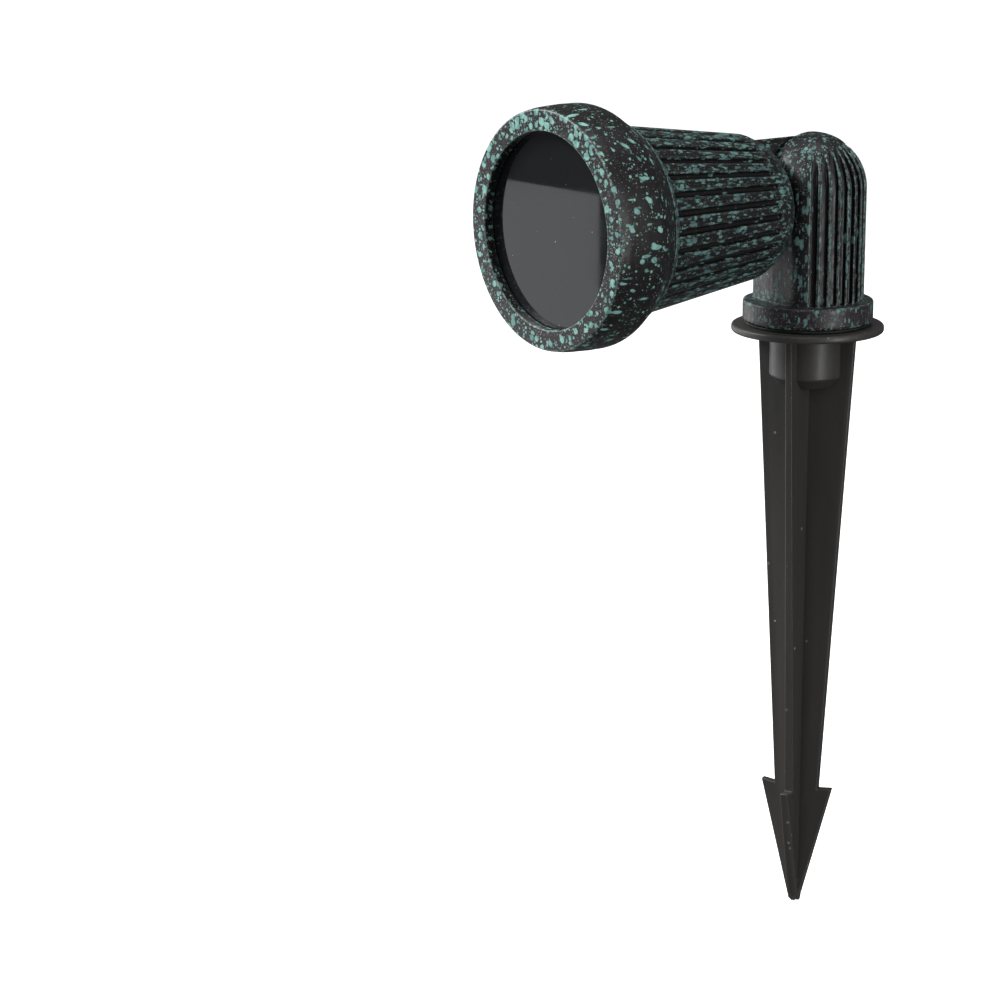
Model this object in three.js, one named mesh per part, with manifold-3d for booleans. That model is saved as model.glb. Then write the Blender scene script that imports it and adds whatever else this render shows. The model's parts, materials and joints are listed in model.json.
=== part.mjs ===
// Light projector stake: a cast garden spotlight on a four-fin ground stake.
// Millimetres, +Z up. The origin is on the stake's axis at the underside of its flange, which is
// the ground line. The lamp head points along -Y, and the tilt axis of its knuckle is along X.
import * as THREE from "three";
import { mergeVertices } from "three/addons/utils/BufferGeometryUtils.js";
import Module from "manifold-3d";

const wasm = await Module();
wasm.setup();

// ---- Driving dimensions -------------------------------------------------------------------

const GAP = 0.3; // clearance between neighbouring pieces
const FINE = 48; // sides of a large round
const COARSE = 16; // sides of a small round
const RIBS = 32; // ribs in a full turn, and the sides of the ribbed rounds

const FLANGE = { r: 28.25, thick: 2.8, edge: 1.0 };
const BOSS = { r: 13.8, depth: 20.5, chamfer: 4 };
const SOCKET = { r: 10.6, depth: 17 }; // blind hole that takes the stem
const CORD_HOLE = { r: 3.6, z: -13 };
const FIN = { top: 19.2, low: 8.7, rootThick: 4.4, edgeThick: 2.2, turn: 25.4 };
const BARB = { z: -179.9, half: 14.35, hook: 0.8, tip: -228, tipRound: 1.8 };

const STEM = { r: 10.3, bore: 8, bottom: -8.5, top: 13.7 };
const GASKET = { rIn: 10.9, rOut: 23.3, thick: 0.8 };
const COLLAR = { r: 24.1, top: 12, edge: 0.8 };
const COLUMN = { r: 20.5, flat: 17.3 };
const PIVOT_Z = 53; // height of the tilt axis, which is also the dome's centre
const LAP_X = -2; // plane where the column's half of the knuckle meets the head's half
const LAP_GAP = 0.6;
const TILT_DOWN = 12; // how far the head tips below level before it meets the column
const SIDE_FACET = { turn: 11.5, reach: 17.3 }; // front facet of the column on the screw side
const CROWN = { lean: [-0.18, -0.32, 0.93], rise: 12.9 }; // plane that ends the column's grooves
const RIB_DEPTH = 2;
const GROOVE_SHARE = 0.6; // of a rib's pitch
const COLUMN_FIRST_GROOVE = 50.6; // degrees round from the head's direction
const COLUMN_GROOVES = 13;

const SCREW = { r: 2.4, hole: 2.7, headR: 4.8, headHigh: 2.6, headX: -16.6, end: 8 };
const SCREW_RECESS = { r: 7.5, floor: -15 };
const SPRING_WASHER = { rIn: 2.8, rOut: 4.8, thick: 1 };
const NUT = { across: 8, thick: 4, pocket: 8.6, x: -0.7 };
const FRICTION_RING = { rIn: 6.4, rOut: 9, thick: 1 };
const WIRE = { arm: 12.5, r: 2.6, slotDepth: 8, from: -14, to: 102 };

const AXIS_DROP = 4; // the lamp head's axis runs this far below the tilt axis
const SHELL = { rear: 28.5, rearR: 22, rim: 33, rimR: 25, front: 92.3, frontR: 33.6, wall: 2.4 };
const SHELL_ROOT = { z: 36, r: 26.4 }; // where the straight cone of the shell starts
const SHOULDER = { start: 91.6, r: 36.5, full: 95.7, end: 96 };
const SPIGOT = { r: 35.2, bore: 31.5, end: 113.3 };
const SHELL_GROOVE = { start: 38.5, width: 2.3, depth: 1.6 };
const LUG_R = 19.4;
const LUG_GROOVES = 4; // on each side of the smooth tongue
const LUG_FIRST_GROOVE = 50.6; // degrees round from the screw's direction
const SEAL = { r: 34, rOut: 35.15, start: 98.3, thick: 1.8, grooveR: 33.7 };

const BEZEL = { rear: 96.4, rearR: 36.6, wideR: 42.1, stepR: 41.7, step: 120, front: 123.7 };
const BEZEL_FLANK = { end: 105, reach: 3 }; // where the flank meets the band, and its rounding
const BEZEL_FRONT = { r: 41, opening: 33.8, lip: 3.8, bore: 35.5 };
const LENS = { r: 35.2, thick: 4 };
const LENS_GASKET = { rIn: 31.5, rOut: 35.1, thick: 1.7 };

const LAMP = { rim: 104, rimR: 25, rimHigh: 1.6, wall: 0.9, neckR: 11, neck: 82, baseR: 8.4 };
const LAMP_BASE = { end: 66, bore: 5.2, boreDepth: 6 };
const PIN = { r: 0.75, spread: 2.67, end: 59 };
const HOLDER = { r: 9.5, front: 65.4, rear: 52, hole: 1.1, holeDepth: 8 };
const BRACKET = { thick: 1.2, width: 12, span: 13, foot: 31.8, legReach: 5 };
const BRACKET_SCREW = { r: 1.4, headR: 2.6, headHigh: 1.6 };

const PAINT = { color: 0x1d1b1a, roughness: 0.45, metalness: 0.35 };
const PLASTIC = { color: 0x1c1c1b, roughness: 0.6, metalness: 0 };
const RUBBER = { color: 0x0e0e0e, roughness: 0.85, metalness: 0 };
const STEEL = { color: 0xa9abad, roughness: 0.35, metalness: 1 };
const BRASS = { color: 0xb08d4a, roughness: 0.35, metalness: 1 };
const CERAMIC = { color: 0xe6e1d6, roughness: 0.6, metalness: 0 };
const GLASS = { color: 0x5a5f63, roughness: 0.05, metalness: 0, transparent: true, opacity: 0.5 };
const MIRROR = { color: 0xd8d8da, roughness: 0.12, metalness: 1 };

// ---- Solids -------------------------------------------------------------------------------

const rad = THREE.MathUtils.degToRad;

// A closed three.js geometry as a solid, whichever way its faces were wound.
function solid(geometry, ...steps) {
  for (const step of steps) geometry.applyMatrix4(step);
  const bare = new THREE.BufferGeometry();
  bare.setAttribute("position", geometry.getAttribute("position"));
  bare.setIndex(geometry.getIndex());
  const merged = mergeVertices(bare, 1e-4);
  const vertProperties = merged.attributes.position.array;
  const triVerts = new Uint32Array(merged.index.array);
  const mesh = { numProp: 3, vertProperties, triVerts };
  const made = new wasm.Manifold(new wasm.Mesh(mesh));
  if (made.volume() > 0) return made;
  for (let i = 0; i < triVerts.length; i += 3) {
    [triVerts[i + 1], triVerts[i + 2]] = [triVerts[i + 2], triVerts[i + 1]];
  }
  return new wasm.Manifold(new wasm.Mesh(mesh));
}

function geometryOf(made) {
  const { vertProperties, triVerts, numProp } = made.getMesh();
  const geometry = new THREE.BufferGeometry();
  const positions = new Float32Array((vertProperties.length / numProp) * 3);
  for (let i = 0; i < positions.length; i += 1) {
    positions[i] = vertProperties[Math.floor(i / 3) * numProp + (i % 3)];
  }
  geometry.setAttribute("position", new THREE.BufferAttribute(positions, 3));
  geometry.setIndex(new THREE.BufferAttribute(new Uint32Array(triVerts), 1));
  return geometry.toNonIndexed();
}

const move = (x, y, z) => new THREE.Matrix4().makeTranslation(x, y, z);
const turnX = (degrees) => new THREE.Matrix4().makeRotationX(rad(degrees));
const turnY = (degrees) => new THREE.Matrix4().makeRotationY(rad(degrees));
const turnZ = (degrees) => new THREE.Matrix4().makeRotationZ(rad(degrees));
const onZ = turnX(90); // a lathe's own axis, Y, laid along +Z
const onX = turnZ(-90); // the same axis laid along +X

// A turned solid about Z. The profile is [radius, height] pairs, and closes on itself.
function turned(profile, sides = FINE) {
  const points = [...profile, profile[0]].map(([r, z]) => new THREE.Vector2(r, z));
  return solid(new THREE.LatheGeometry(points, sides), onZ);
}

function disc(r, low, high, sides = FINE) {
  const height = high - low;
  const geometry = new THREE.CylinderGeometry(r, r, height, sides);
  return solid(geometry, onZ, move(0, 0, low + height / 2));
}

function tube(rIn, rOut, low, high, sides = FINE) {
  return disc(rOut, low, high, sides).subtract(disc(rIn, low - 1, high + 1, sides));
}

// A round bar along X, centred on (y, z).
function barX(r, from, to, y, z, sides = COARSE) {
  const geometry = new THREE.CylinderGeometry(r, r, to - from, sides);
  return solid(geometry, onX, move((from + to) / 2, y, z));
}

// A round bar along Y, centred on (x, z).
function barY(r, from, to, x, z, sides = COARSE) {
  const geometry = new THREE.CylinderGeometry(r, r, to - from, sides);
  return solid(geometry, move(x, (from + to) / 2, z));
}

function block([x0, y0, z0], [x1, y1, z1]) {
  const geometry = new THREE.BoxGeometry(x1 - x0, y1 - y0, z1 - z0);
  return solid(geometry, move((x0 + x1) / 2, (y0 + y1) / 2, (z0 + z1) / 2));
}

function ball(r, x, y, z) {
  return solid(new THREE.SphereGeometry(r, RIBS, RIBS / 2), onZ, move(x, y, z));
}

function extruded(outline, depth, ...steps) {
  const shape = new THREE.Shape(outline.map(([x, y]) => new THREE.Vector2(x, y)));
  return solid(new THREE.ExtrudeGeometry(shape, { depth, bevelEnabled: false }), ...steps);
}

const join = (solids) => solids.reduce((all, one) => all.add(one));

// A post along Z with a domed end: the blank of both halves of the knuckle.
function domedPost(r, low, domeZ) {
  return disc(r, low, domeZ, RIBS).add(ball(r, 0, 0, domeZ));
}

// The grooves of a domed post: wedges cut to one depth below its skin.
function postGrooves(r, low, domeZ, count, firstDegrees, keep) {
  const pitch = 360 / RIBS;
  const half = r * 1.5 * Math.tan(rad((pitch * GROOVE_SHARE) / 2));
  const skin = domedPost(r + 1, low, domeZ).subtract(domedPost(r - RIB_DEPTH, low - 1, domeZ));
  const wedges = [];
  for (let i = 0; i < count; i += 1) {
    const outline = [
      [0, 0],
      [r * 1.5, -half],
      [r * 1.5, half],
    ];
    const turn = firstDegrees + i * pitch;
    wedges.push(extruded(outline, domeZ + r * 2 - low, turnZ(turn - 90), move(0, 0, low)));
  }
  return skin.intersect(join(wedges)).intersect(keep);
}

// Everything on the low side of a plane at a distance along its normal from a point.
function belowPlane([x, y, z], [nx, ny, nz], distance) {
  const size = 200;
  const normal = new THREE.Vector3(nx, ny, nz).normalize();
  const spin = new THREE.Quaternion().setFromUnitVectors(new THREE.Vector3(0, 0, 1), normal);
  const geometry = new THREE.BoxGeometry(size, size, size);
  const place = new THREE.Matrix4().makeRotationFromQuaternion(spin);
  const centre = normal.multiplyScalar(distance - size / 2).add(new THREE.Vector3(x, y, z));
  return solid(geometry, place, move(centre.x, centre.y, centre.z));
}

// ---- Ground stake -------------------------------------------------------------------------

function finPair() {
  const { z, half, hook, tip, tipRound } = BARB;
  const right = [
    [FIN.top, 1],
    [FIN.top, 0],
    [FIN.low, z],
    [half, z + hook],
    [tipRound, tip + tipRound],
    [tipRound * 0.7, tip + tipRound * 0.3],
  ];
  const left = right.map(([x, y]) => [-x, y]).reverse();
  const plate = extruded([...right, [0, tip], ...left], 10, move(0, 0, -5), turnX(90));
  const root = FIN.rootThick / 2;
  const edge = FIN.edgeThick / 2;
  const plan = [
    [0, -root],
    [FIN.top + 1, -edge],
    [FIN.top + 1, edge],
    [0, root],
    [-FIN.top - 1, edge],
    [-FIN.top - 1, -edge],
  ];
  return plate.intersect(extruded(plan, 2 - tip, move(0, 0, tip - 1)));
}

function groundStake() {
  const { r, thick, edge } = FLANGE;
  const flange = turned([
    [0, 0],
    [r - edge, 0],
    [r, edge],
    [r, thick - edge],
    [r - edge, thick],
    [0, thick],
  ]);
  const boss = turned([
    [0, 0.5],
    [BOSS.r, 0.5],
    [BOSS.r, -BOSS.depth + BOSS.chamfer],
    [BOSS.r - BOSS.chamfer, -BOSS.depth],
    [0, -BOSS.depth],
  ]);
  const fins = finPair();
  const lengthwise = fins.rotate([0, 0, FIN.turn]);
  const crosswise = fins.rotate([0, 0, FIN.turn + 90]);
  return flange
    .add(boss)
    .add(lengthwise)
    .add(crosswise)
    .subtract(disc(SOCKET.r, -SOCKET.depth, thick + 1))
    .subtract(barY(CORD_HOLE.r, 5, BOSS.r + 1, 0, CORD_HOLE.z));
}

function cordGrommet() {
  const wall = 1;
  const r = CORD_HOLE.r - GAP;
  const outer = barY(r, SOCKET.r - 0.4, BOSS.r + 1.2, 0, CORD_HOLE.z);
  const bore = barY(r - wall, 0, BOSS.r + 3, 0, CORD_HOLE.z);
  return outer.subtract(bore);
}

// ---- Elbow, which swivels on the stake ----------------------------------------------------

const collarLow = FLANGE.thick + GAP + GASKET.thick + GAP;

function collarGasket() {
  const low = FLANGE.thick + GAP;
  return tube(GASKET.rIn, GASKET.rOut, low, low + GASKET.thick);
}

function threadedStem() {
  return tube(STEM.bore, STEM.r, STEM.bottom, STEM.top);
}

// The lap face's side of the column: everything on the ribbed side of the knuckle.
const ribbedSide = block([LAP_X, -40, 0], [40, 40, 120]);

function elbowBase() {
  const { r, flat } = COLUMN;
  const collar = turned([
    [0, collarLow],
    [COLLAR.r, collarLow],
    [COLLAR.r, COLLAR.top - COLLAR.edge],
    [COLLAR.r - COLLAR.edge, COLLAR.top],
    [0, COLLAR.top],
  ]);
  const lower = disc(r, COLLAR.top - 1, PIVOT_Z, RIBS);
  const down = rad(TILT_DOWN);
  const ramp = belowPlane([0, 0, PIVOT_Z], [0, -Math.sin(down), Math.cos(down)], -r - LAP_GAP);
  const screwSide = lower.subtract(ribbedSide).intersect(ramp);
  const facetNormal = [-Math.sin(rad(SIDE_FACET.turn)), -Math.cos(rad(SIDE_FACET.turn)), 0];
  const facet = belowPlane([LAP_X, -SIDE_FACET.reach, 0], facetNormal, 0);
  const front = block([-60, -flat, 0], [60, 60, 120]);
  const ribbed = domedPost(r, COLLAR.top - 1, PIVOT_Z).intersect(ribbedSide).intersect(front);
  const keep = belowPlane([0, 0, PIVOT_Z], CROWN.lean, CROWN.rise).intersect(ribbedSide);
  const grooves = postGrooves(
    r,
    COLLAR.top + 0.3,
    PIVOT_Z,
    COLUMN_GROOVES,
    COLUMN_FIRST_GROOVE,
    keep,
  );
  return collar
    .add(ribbed)
    .add(screwSide.intersect(facet))
    .subtract(grooves)
    .subtract(knuckleHollows())
    .subtract(disc(STEM.r + GAP, 0, STEM.top + GAP))
    .subtract(disc(11, STEM.top, 26));
}

// The holes in the column's half of the knuckle: screw, nut pocket, ring seat and wire way.
function knuckleHollows() {
  const ringSeat = LAP_X + FRICTION_RING.thick;
  const screwHole = barX(SCREW.hole, LAP_X - 1, SCREW.end + 1.5, 0, PIVOT_Z);
  const seat = barX(FRICTION_RING.rOut + GAP, LAP_X - 1, ringSeat, 0, PIVOT_Z);
  const half = NUT.pocket / 2;
  const depth = NUT.x + NUT.thick + GAP;
  const pocket = block([LAP_X, -half, PIVOT_Z - half], [depth, half, PIVOT_Z + half]);
  const wayDown = disc(WIRE.r, 20, PIVOT_Z).translate([LAP_X + 5.2, -WIRE.arm, 0]);
  return join([screwHole, seat, pocket, wireSlot(), wayDown]);
}

// A curved slot in the lap face, so that the leads pass at every tilt of the head.
function wireSlot() {
  const inner = WIRE.arm - WIRE.r;
  const outer = WIRE.arm + WIRE.r;
  const shape = new THREE.Shape();
  shape.absarc(0, 0, outer, rad(WIRE.from), rad(WIRE.to), false);
  shape.absarc(0, 0, inner, rad(WIRE.to), rad(WIRE.from), true);
  const options = { depth: WIRE.slotDepth + 1, bevelEnabled: false, curveSegments: 12 };
  const flat = new THREE.ExtrudeGeometry(shape, options);
  return solid(flat, turnY(90), turnX(90), turnX(90), move(LAP_X - 1, 0, PIVOT_Z));
}

function frictionRing() {
  const low = LAP_X - GAP;
  const high = low + FRICTION_RING.thick;
  const outer = barX(FRICTION_RING.rOut, low, high, 0, PIVOT_Z);
  return outer.subtract(barX(FRICTION_RING.rIn, low - 1, high + 1, 0, PIVOT_Z));
}

function pivotNut() {
  const half = NUT.across / 2;
  const high = NUT.x + NUT.thick;
  const body = block([NUT.x, -half, PIVOT_Z - half], [high, half, PIVOT_Z + half]);
  return body.subtract(barX(SCREW.hole, NUT.x - 1, high + 1, 0, PIVOT_Z));
}

function pivotScrew() {
  const under = SCREW.headX;
  const top = under - SCREW.headHigh;
  const shank = barX(SCREW.r, under - 1, SCREW.end, 0, PIVOT_Z);
  const crown = turned([
    [0, 0],
    [SCREW.headR, 0],
    [SCREW.headR, SCREW.headHigh * 0.5],
    [SCREW.headR * 0.72, SCREW.headHigh],
    [0, SCREW.headHigh],
  ], COARSE);
  const head = crown.rotate([0, -90, 0]).translate([under, 0, PIVOT_Z]);
  const deep = 1.8;
  const long = 2.6;
  const wide = 0.55;
  const upright = block([top - 1, -wide, PIVOT_Z - long], [top + deep, wide, PIVOT_Z + long]);
  const level = block([top - 1, -long, PIVOT_Z - wide], [top + deep, long, PIVOT_Z + wide]);
  return head.add(shank).subtract(upright).subtract(level);
}

function springWasher() {
  const low = SCREW_RECESS.floor - GAP - SPRING_WASHER.thick;
  const high = low + SPRING_WASHER.thick;
  const ring = barX(SPRING_WASHER.rOut, low, high, 0, PIVOT_Z);
  const split = block([low - 1, 0, PIVOT_Z - 0.4], [high + 1, 10, PIVOT_Z + 0.4]);
  return ring.subtract(barX(SPRING_WASHER.rIn, low - 1, high + 1, 0, PIVOT_Z)).subtract(split);
}

// ---- Lamp head, in its own frame: +Z forward along the lamp, +Y up ------------------------

const shellSlope = (SHELL.frontR - SHELL_ROOT.r) / (SHELL.front - SHELL_ROOT.z);
const shellR = (z) => SHELL_ROOT.r + (z - SHELL_ROOT.z) * shellSlope;

function shellGroove(degrees) {
  const { start, width, depth } = SHELL_GROOVE;
  const long = SHELL.front + 1 - start;
  const slope = THREE.MathUtils.radToDeg(Math.atan(shellSlope));
  const floor = shellR(start) - depth;
  const bar = block([-width / 2, 0, 0], [width / 2, 8, long + 4]);
  const end = solid(new THREE.CylinderGeometry(width / 2, width / 2, 8, 8), move(0, 4, 0));
  const cutter = bar.add(end).rotate([-slope, 0, 0]).translate([0, floor, start]);
  return cutter.intersect(disc(60, 0, SHELL.front)).rotate([0, 0, degrees]);
}

function lug() {
  const low = AXIS_DROP;
  const post = domedPost(LUG_R, -SHELL.rim + 1, 0).rotate([0, 180, 0]).translate([0, low, 0]);
  const screwSide = block([-40, -60, -60], [LAP_X - LAP_GAP, 60, SHELL.rim + 2]);
  return post.intersect(screwSide);
}

function lugGrooves() {
  const cutters = [];
  const clear = block([-60, -60, -60], [LAP_X - LAP_GAP, 60, SHELL.rear - 1]);
  for (const side of [1, -1]) {
    const blank = postGrooves(
      LUG_R,
      -SHELL.rim,
      0,
      LUG_GROOVES,
      LUG_FIRST_GROOVE,
      block([-60, -60, -60], [60, 60, 13]),
    );
    const laid = blank.rotate([0, 180, 0]).rotate([0, 0, side > 0 ? -90 : 90]);
    const flipped = side > 0 ? laid : laid.mirror([0, 1, 0]);
    cutters.push(flipped.translate([0, AXIS_DROP, 0]));
  }
  return join(cutters).intersect(clear);
}

function headHousing() {
  const { rear, rearR, rim, rimR, front, frontR, wall } = SHELL;
  const body = turned([
    [0, rear],
    [rearR, rear],
    [rimR - 0.8, rim - 2],
    [rimR, rim],
    [SHELL_ROOT.r, SHELL_ROOT.z],
    [shellR(SHOULDER.start), SHOULDER.start],
    [SHOULDER.r, SHOULDER.full],
    [SHOULDER.r, SHOULDER.end],
    [SPIGOT.r, SHOULDER.end],
    [SPIGOT.r, SEAL.start],
    [SEAL.grooveR, SEAL.start],
    [SEAL.grooveR, SEAL.start + SEAL.thick + GAP],
    [SPIGOT.r, SEAL.start + SEAL.thick + GAP],
    [SPIGOT.r, SPIGOT.end],
    [0, SPIGOT.end],
  ], RIBS);
  const inset = SHELL_GROOVE.depth + wall;
  const hollow = turned([
    [0, rear + 3],
    [rearR - inset, rear + 3],
    [SHELL_ROOT.r - inset, SHELL_ROOT.z],
    [frontR - inset, front],
    [SPIGOT.bore - 1.5, SHOULDER.end],
    [SPIGOT.bore, SPIGOT.end + 1],
    [0, SPIGOT.end + 1],
  ], RIBS);
  const grooves = [];
  for (let i = 0; i < RIBS; i += 1) {
    grooves.push(shellGroove((i * 360) / RIBS));
  }
  const up = AXIS_DROP;
  const holes = [
    barX(SCREW.hole, -40, 0, up, 0),
    barX(SCREW_RECESS.r, -40, SCREW_RECESS.floor, up, 0),
    barX(WIRE.r, -9, 0, up, WIRE.arm),
    disc(4.4, 8.5, rear + 4, COARSE).translate([-8.5, up, 0]),
    ...[-1, 1].map((side) =>
      disc(BRACKET_SCREW.r + 0.1, rear + 1, rear + 4, 12).translate([side * BRACKET.span, 0, 0]),
    ),
  ];
  return body
    .add(lug().subtract(lugGrooves()))
    .subtract(join(grooves))
    .subtract(hollow)
    .subtract(join(holes));
}

function housingSeal() {
  return tube(SEAL.r, SEAL.rOut, SEAL.start + 0.15, SEAL.start + SEAL.thick);
}

function bezelRing() {
  const { rear, rearR, wideR, stepR, step, front } = BEZEL;
  const lipRear = front - BEZEL_FRONT.lip;
  const { end, reach } = BEZEL_FLANK;
  const flank = new THREE.Vector2(wideR - rearR, end - rear).setLength(reach);
  const corner = new THREE.Vector2(wideR, end);
  const bend = new THREE.QuadraticBezierCurve(
    corner.clone().sub(flank),
    corner,
    new THREE.Vector2(wideR, end + reach),
  );
  const bow = bend.getPoints(4).map(({ x, y }) => [x, y]);
  return turned([
    [BEZEL_FRONT.bore, rear],
    [rearR, rear],
    ...bow,
    [wideR, (end + step) / 2],
    [stepR, step],
    [BEZEL_FRONT.r, front - 0.6],
    [BEZEL_FRONT.r - 0.6, front],
    [BEZEL_FRONT.opening + 0.4, front],
    [BEZEL_FRONT.opening, front - 0.4],
    [BEZEL_FRONT.opening, lipRear],
    [BEZEL_FRONT.bore, lipRear],
  ]);
}

const lensFront = BEZEL.front - BEZEL_FRONT.lip - GAP;

function lensGlass() {
  return disc(LENS.r, lensFront - LENS.thick, lensFront);
}

function lensGasket() {
  const high = lensFront - LENS.thick - GAP;
  return tube(LENS_GASKET.rIn, LENS_GASKET.rOut, high - LENS_GASKET.thick, high);
}

// ---- Lamp, holder and bracket, in the lamp head's frame -----------------------------------

// The bowl of the reflector at a share of the way from its neck to its rim.
function bowl(share, inset) {
  const z = LAMP.neck + (LAMP.rim - LAMP.neck) * share;
  return [LAMP.neckR + (LAMP.rimR - 1 - LAMP.neckR) * Math.sqrt(share) - inset, z];
}

function lampReflector() {
  const outside = [];
  const inside = [];
  const steps = 4;
  for (let i = 0; i <= steps; i += 1) {
    outside.push(bowl((i / steps) * 0.92, 0));
    inside.push(bowl(0.06 + (i / steps) * 0.94, LAMP.wall));
  }
  const rimLow = LAMP.rim - LAMP.rimHigh;
  return turned([
    [5, LAMP.neck],
    ...outside,
    [LAMP.rimR, rimLow],
    [LAMP.rimR, LAMP.rim],
    [LAMP.rimR - 1.9, LAMP.rim],
    ...inside.reverse(),
    [5, LAMP.neck + 1.3],
  ], RIBS);
}

function lampCover() {
  const thick = 1;
  const share = 1 - thick / (LAMP.rim - LAMP.neck);
  const [seatR] = bowl(share, LAMP.wall);
  return disc(seatR - GAP, LAMP.rim - thick, LAMP.rim);
}

function lampBase() {
  const rear = LAMP_BASE.end;
  const face = LAMP.neck - GAP;
  const body = turned([
    [0, rear],
    [LAMP.baseR, rear],
    [LAMP.baseR, face - 4],
    [LAMP.neckR - 1, face],
    [0, face],
  ], COARSE);
  const well = disc(LAMP_BASE.bore, face - LAMP_BASE.boreDepth, face + 1, COARSE);
  return body.subtract(well).subtract(join(pinRods(PIN.r + GAP, rear - 1, rear + 5)));
}

function pinRods(r, low, high) {
  return [-1, 1].map((side) => disc(r, low, high, 12).translate([side * PIN.spread, 0, 0]));
}

function lampBurner() {
  const low = LAMP.neck - GAP - LAMP_BASE.boreDepth + GAP;
  return turned([
    [0, low],
    [4.2, low],
    [4.2, low + 13],
    [3, low + 16],
    [1.2, low + 18],
    [0, low + 18.4],
  ], COARSE);
}

function lampHolder() {
  const body = turned([
    [0, HOLDER.rear],
    [HOLDER.r, HOLDER.rear],
    [HOLDER.r, HOLDER.front - 1],
    [HOLDER.r - 1, HOLDER.front],
    [0, HOLDER.front],
  ], COARSE);
  const mouth = HOLDER.front - HOLDER.holeDepth;
  return body.subtract(join(pinRods(HOLDER.hole, mouth, HOLDER.front + 1)));
}

function holderBracket() {
  const { thick, width, span, foot, legReach } = BRACKET;
  const half = width / 2;
  const plateHigh = HOLDER.rear - GAP;
  const plateLow = plateHigh - thick;
  const legX = span - legReach + 1;
  const plate = block([-legX, -half, plateLow], [legX, half, plateHigh]);
  const sides = [-1, 1].map((side) => {
    const inner = side * (legX - thick);
    const outer = side * legX;
    const tip = side * (span + 3);
    const leg = block(
      [Math.min(inner, outer), -half, foot],
      [Math.max(inner, outer), half, plateHigh],
    );
    const pad = block(
      [Math.min(inner, tip), -half, foot],
      [Math.max(inner, tip), half, foot + thick],
    );
    const hole = disc(BRACKET_SCREW.r + GAP, foot - 1, foot + thick + 1, 12);
    return leg.add(pad).subtract(hole.translate([side * span, 0, 0]));
  });
  return plate.add(join(sides));
}

function bracketScrew(side) {
  const under = BRACKET.foot + BRACKET.thick + GAP;
  const shank = disc(BRACKET_SCREW.r - GAP, SHELL.rear + 1.5, under + 0.5, 12);
  const head = disc(BRACKET_SCREW.headR, under, under + BRACKET_SCREW.headHigh, 20);
  const high = under + BRACKET_SCREW.headHigh;
  const slot = block([-5, -0.4, high - 0.7], [5, 0.4, high + 1]);
  return shank.add(head).subtract(slot).translate([side * BRACKET.span, 0, 0]);
}

// ---- Assembly -----------------------------------------------------------------------------

function piece(name, made, look) {
  const geometry = geometryOf(made);
  geometry.computeVertexNormals();
  const mesh = new THREE.Mesh(geometry, new THREE.MeshStandardMaterial(look));
  mesh.name = name;
  return mesh;
}

const stake = new THREE.Group();
stake.add(piece("ground_stake", groundStake(), PLASTIC));
stake.add(piece("cord_grommet", cordGrommet(), RUBBER));

const elbow = new THREE.Group();
elbow.add(piece("collar_gasket", collarGasket(), RUBBER));
elbow.add(piece("threaded_stem", threadedStem(), STEEL));
elbow.add(piece("elbow_base", elbowBase(), PAINT));
elbow.add(piece("friction_ring", frictionRing(), RUBBER));
elbow.add(piece("pivot_nut", pivotNut(), STEEL));
elbow.add(piece("pivot_screw", pivotScrew(), STEEL));

const head = new THREE.Group();
head.position.set(0, 0, PIVOT_Z - AXIS_DROP);
head.rotation.x = Math.PI / 2;
head.add(piece("head_housing", headHousing(), PAINT));
head.add(piece("housing_seal", housingSeal(), RUBBER));
head.add(piece("bezel_ring", bezelRing(), PAINT));
head.add(piece("lens_glass", lensGlass(), GLASS));
head.add(piece("lens_gasket", lensGasket(), RUBBER));
head.add(piece("lamp_reflector", lampReflector(), MIRROR));
head.add(piece("lamp_cover_glass", lampCover(), GLASS));
head.add(piece("lamp_base", lampBase(), CERAMIC));
head.add(piece("lamp_burner", lampBurner(), GLASS));
pinRods(PIN.r, PIN.end, LAMP_BASE.end + 4.5).forEach((rod, i) => {
  head.add(piece(`lamp_pin_${i + 1}`, rod, BRASS));
});
head.add(piece("lamp_holder", lampHolder(), CERAMIC));
head.add(piece("holder_bracket", holderBracket(), STEEL));
[-1, 1].forEach((side, i) => {
  head.add(piece(`bracket_screw_${i + 1}`, bracketScrew(side), STEEL));
});

const knuckle = new THREE.Group();
knuckle.add(piece("spring_washer", springWasher(), STEEL));

const group = new THREE.Group();
group.add(stake, elbow, head, knuckle);

export default group;
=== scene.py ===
"""Looks of the light projector stake: a splatter-painted garden spotlight on a black ground stake.

Shapes are worked out in millimetres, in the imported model's frame: +Z up, the lamp points along -Y.
"""

import json
import math

import bmesh
import bpy
import numpy as np
import openvdb
from mathutils import Matrix, Vector

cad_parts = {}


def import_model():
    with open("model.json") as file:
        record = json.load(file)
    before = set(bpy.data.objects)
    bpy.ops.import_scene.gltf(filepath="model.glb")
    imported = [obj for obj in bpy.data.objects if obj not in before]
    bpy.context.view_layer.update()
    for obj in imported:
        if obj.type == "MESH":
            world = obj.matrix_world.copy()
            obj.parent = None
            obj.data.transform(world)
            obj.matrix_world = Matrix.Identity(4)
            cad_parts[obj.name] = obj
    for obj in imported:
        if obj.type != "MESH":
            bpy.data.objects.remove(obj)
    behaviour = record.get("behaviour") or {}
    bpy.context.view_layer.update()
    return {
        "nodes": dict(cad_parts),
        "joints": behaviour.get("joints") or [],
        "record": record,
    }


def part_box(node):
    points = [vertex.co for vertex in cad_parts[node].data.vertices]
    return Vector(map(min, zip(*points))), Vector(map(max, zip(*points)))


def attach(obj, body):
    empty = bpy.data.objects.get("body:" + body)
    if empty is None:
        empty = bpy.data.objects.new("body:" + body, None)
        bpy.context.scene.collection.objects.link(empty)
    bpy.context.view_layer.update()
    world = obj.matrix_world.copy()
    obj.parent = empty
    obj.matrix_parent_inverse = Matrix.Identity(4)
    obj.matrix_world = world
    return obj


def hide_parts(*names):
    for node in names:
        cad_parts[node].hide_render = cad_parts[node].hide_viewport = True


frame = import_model()

MM = 0.001  # metres in a millimetre

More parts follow.
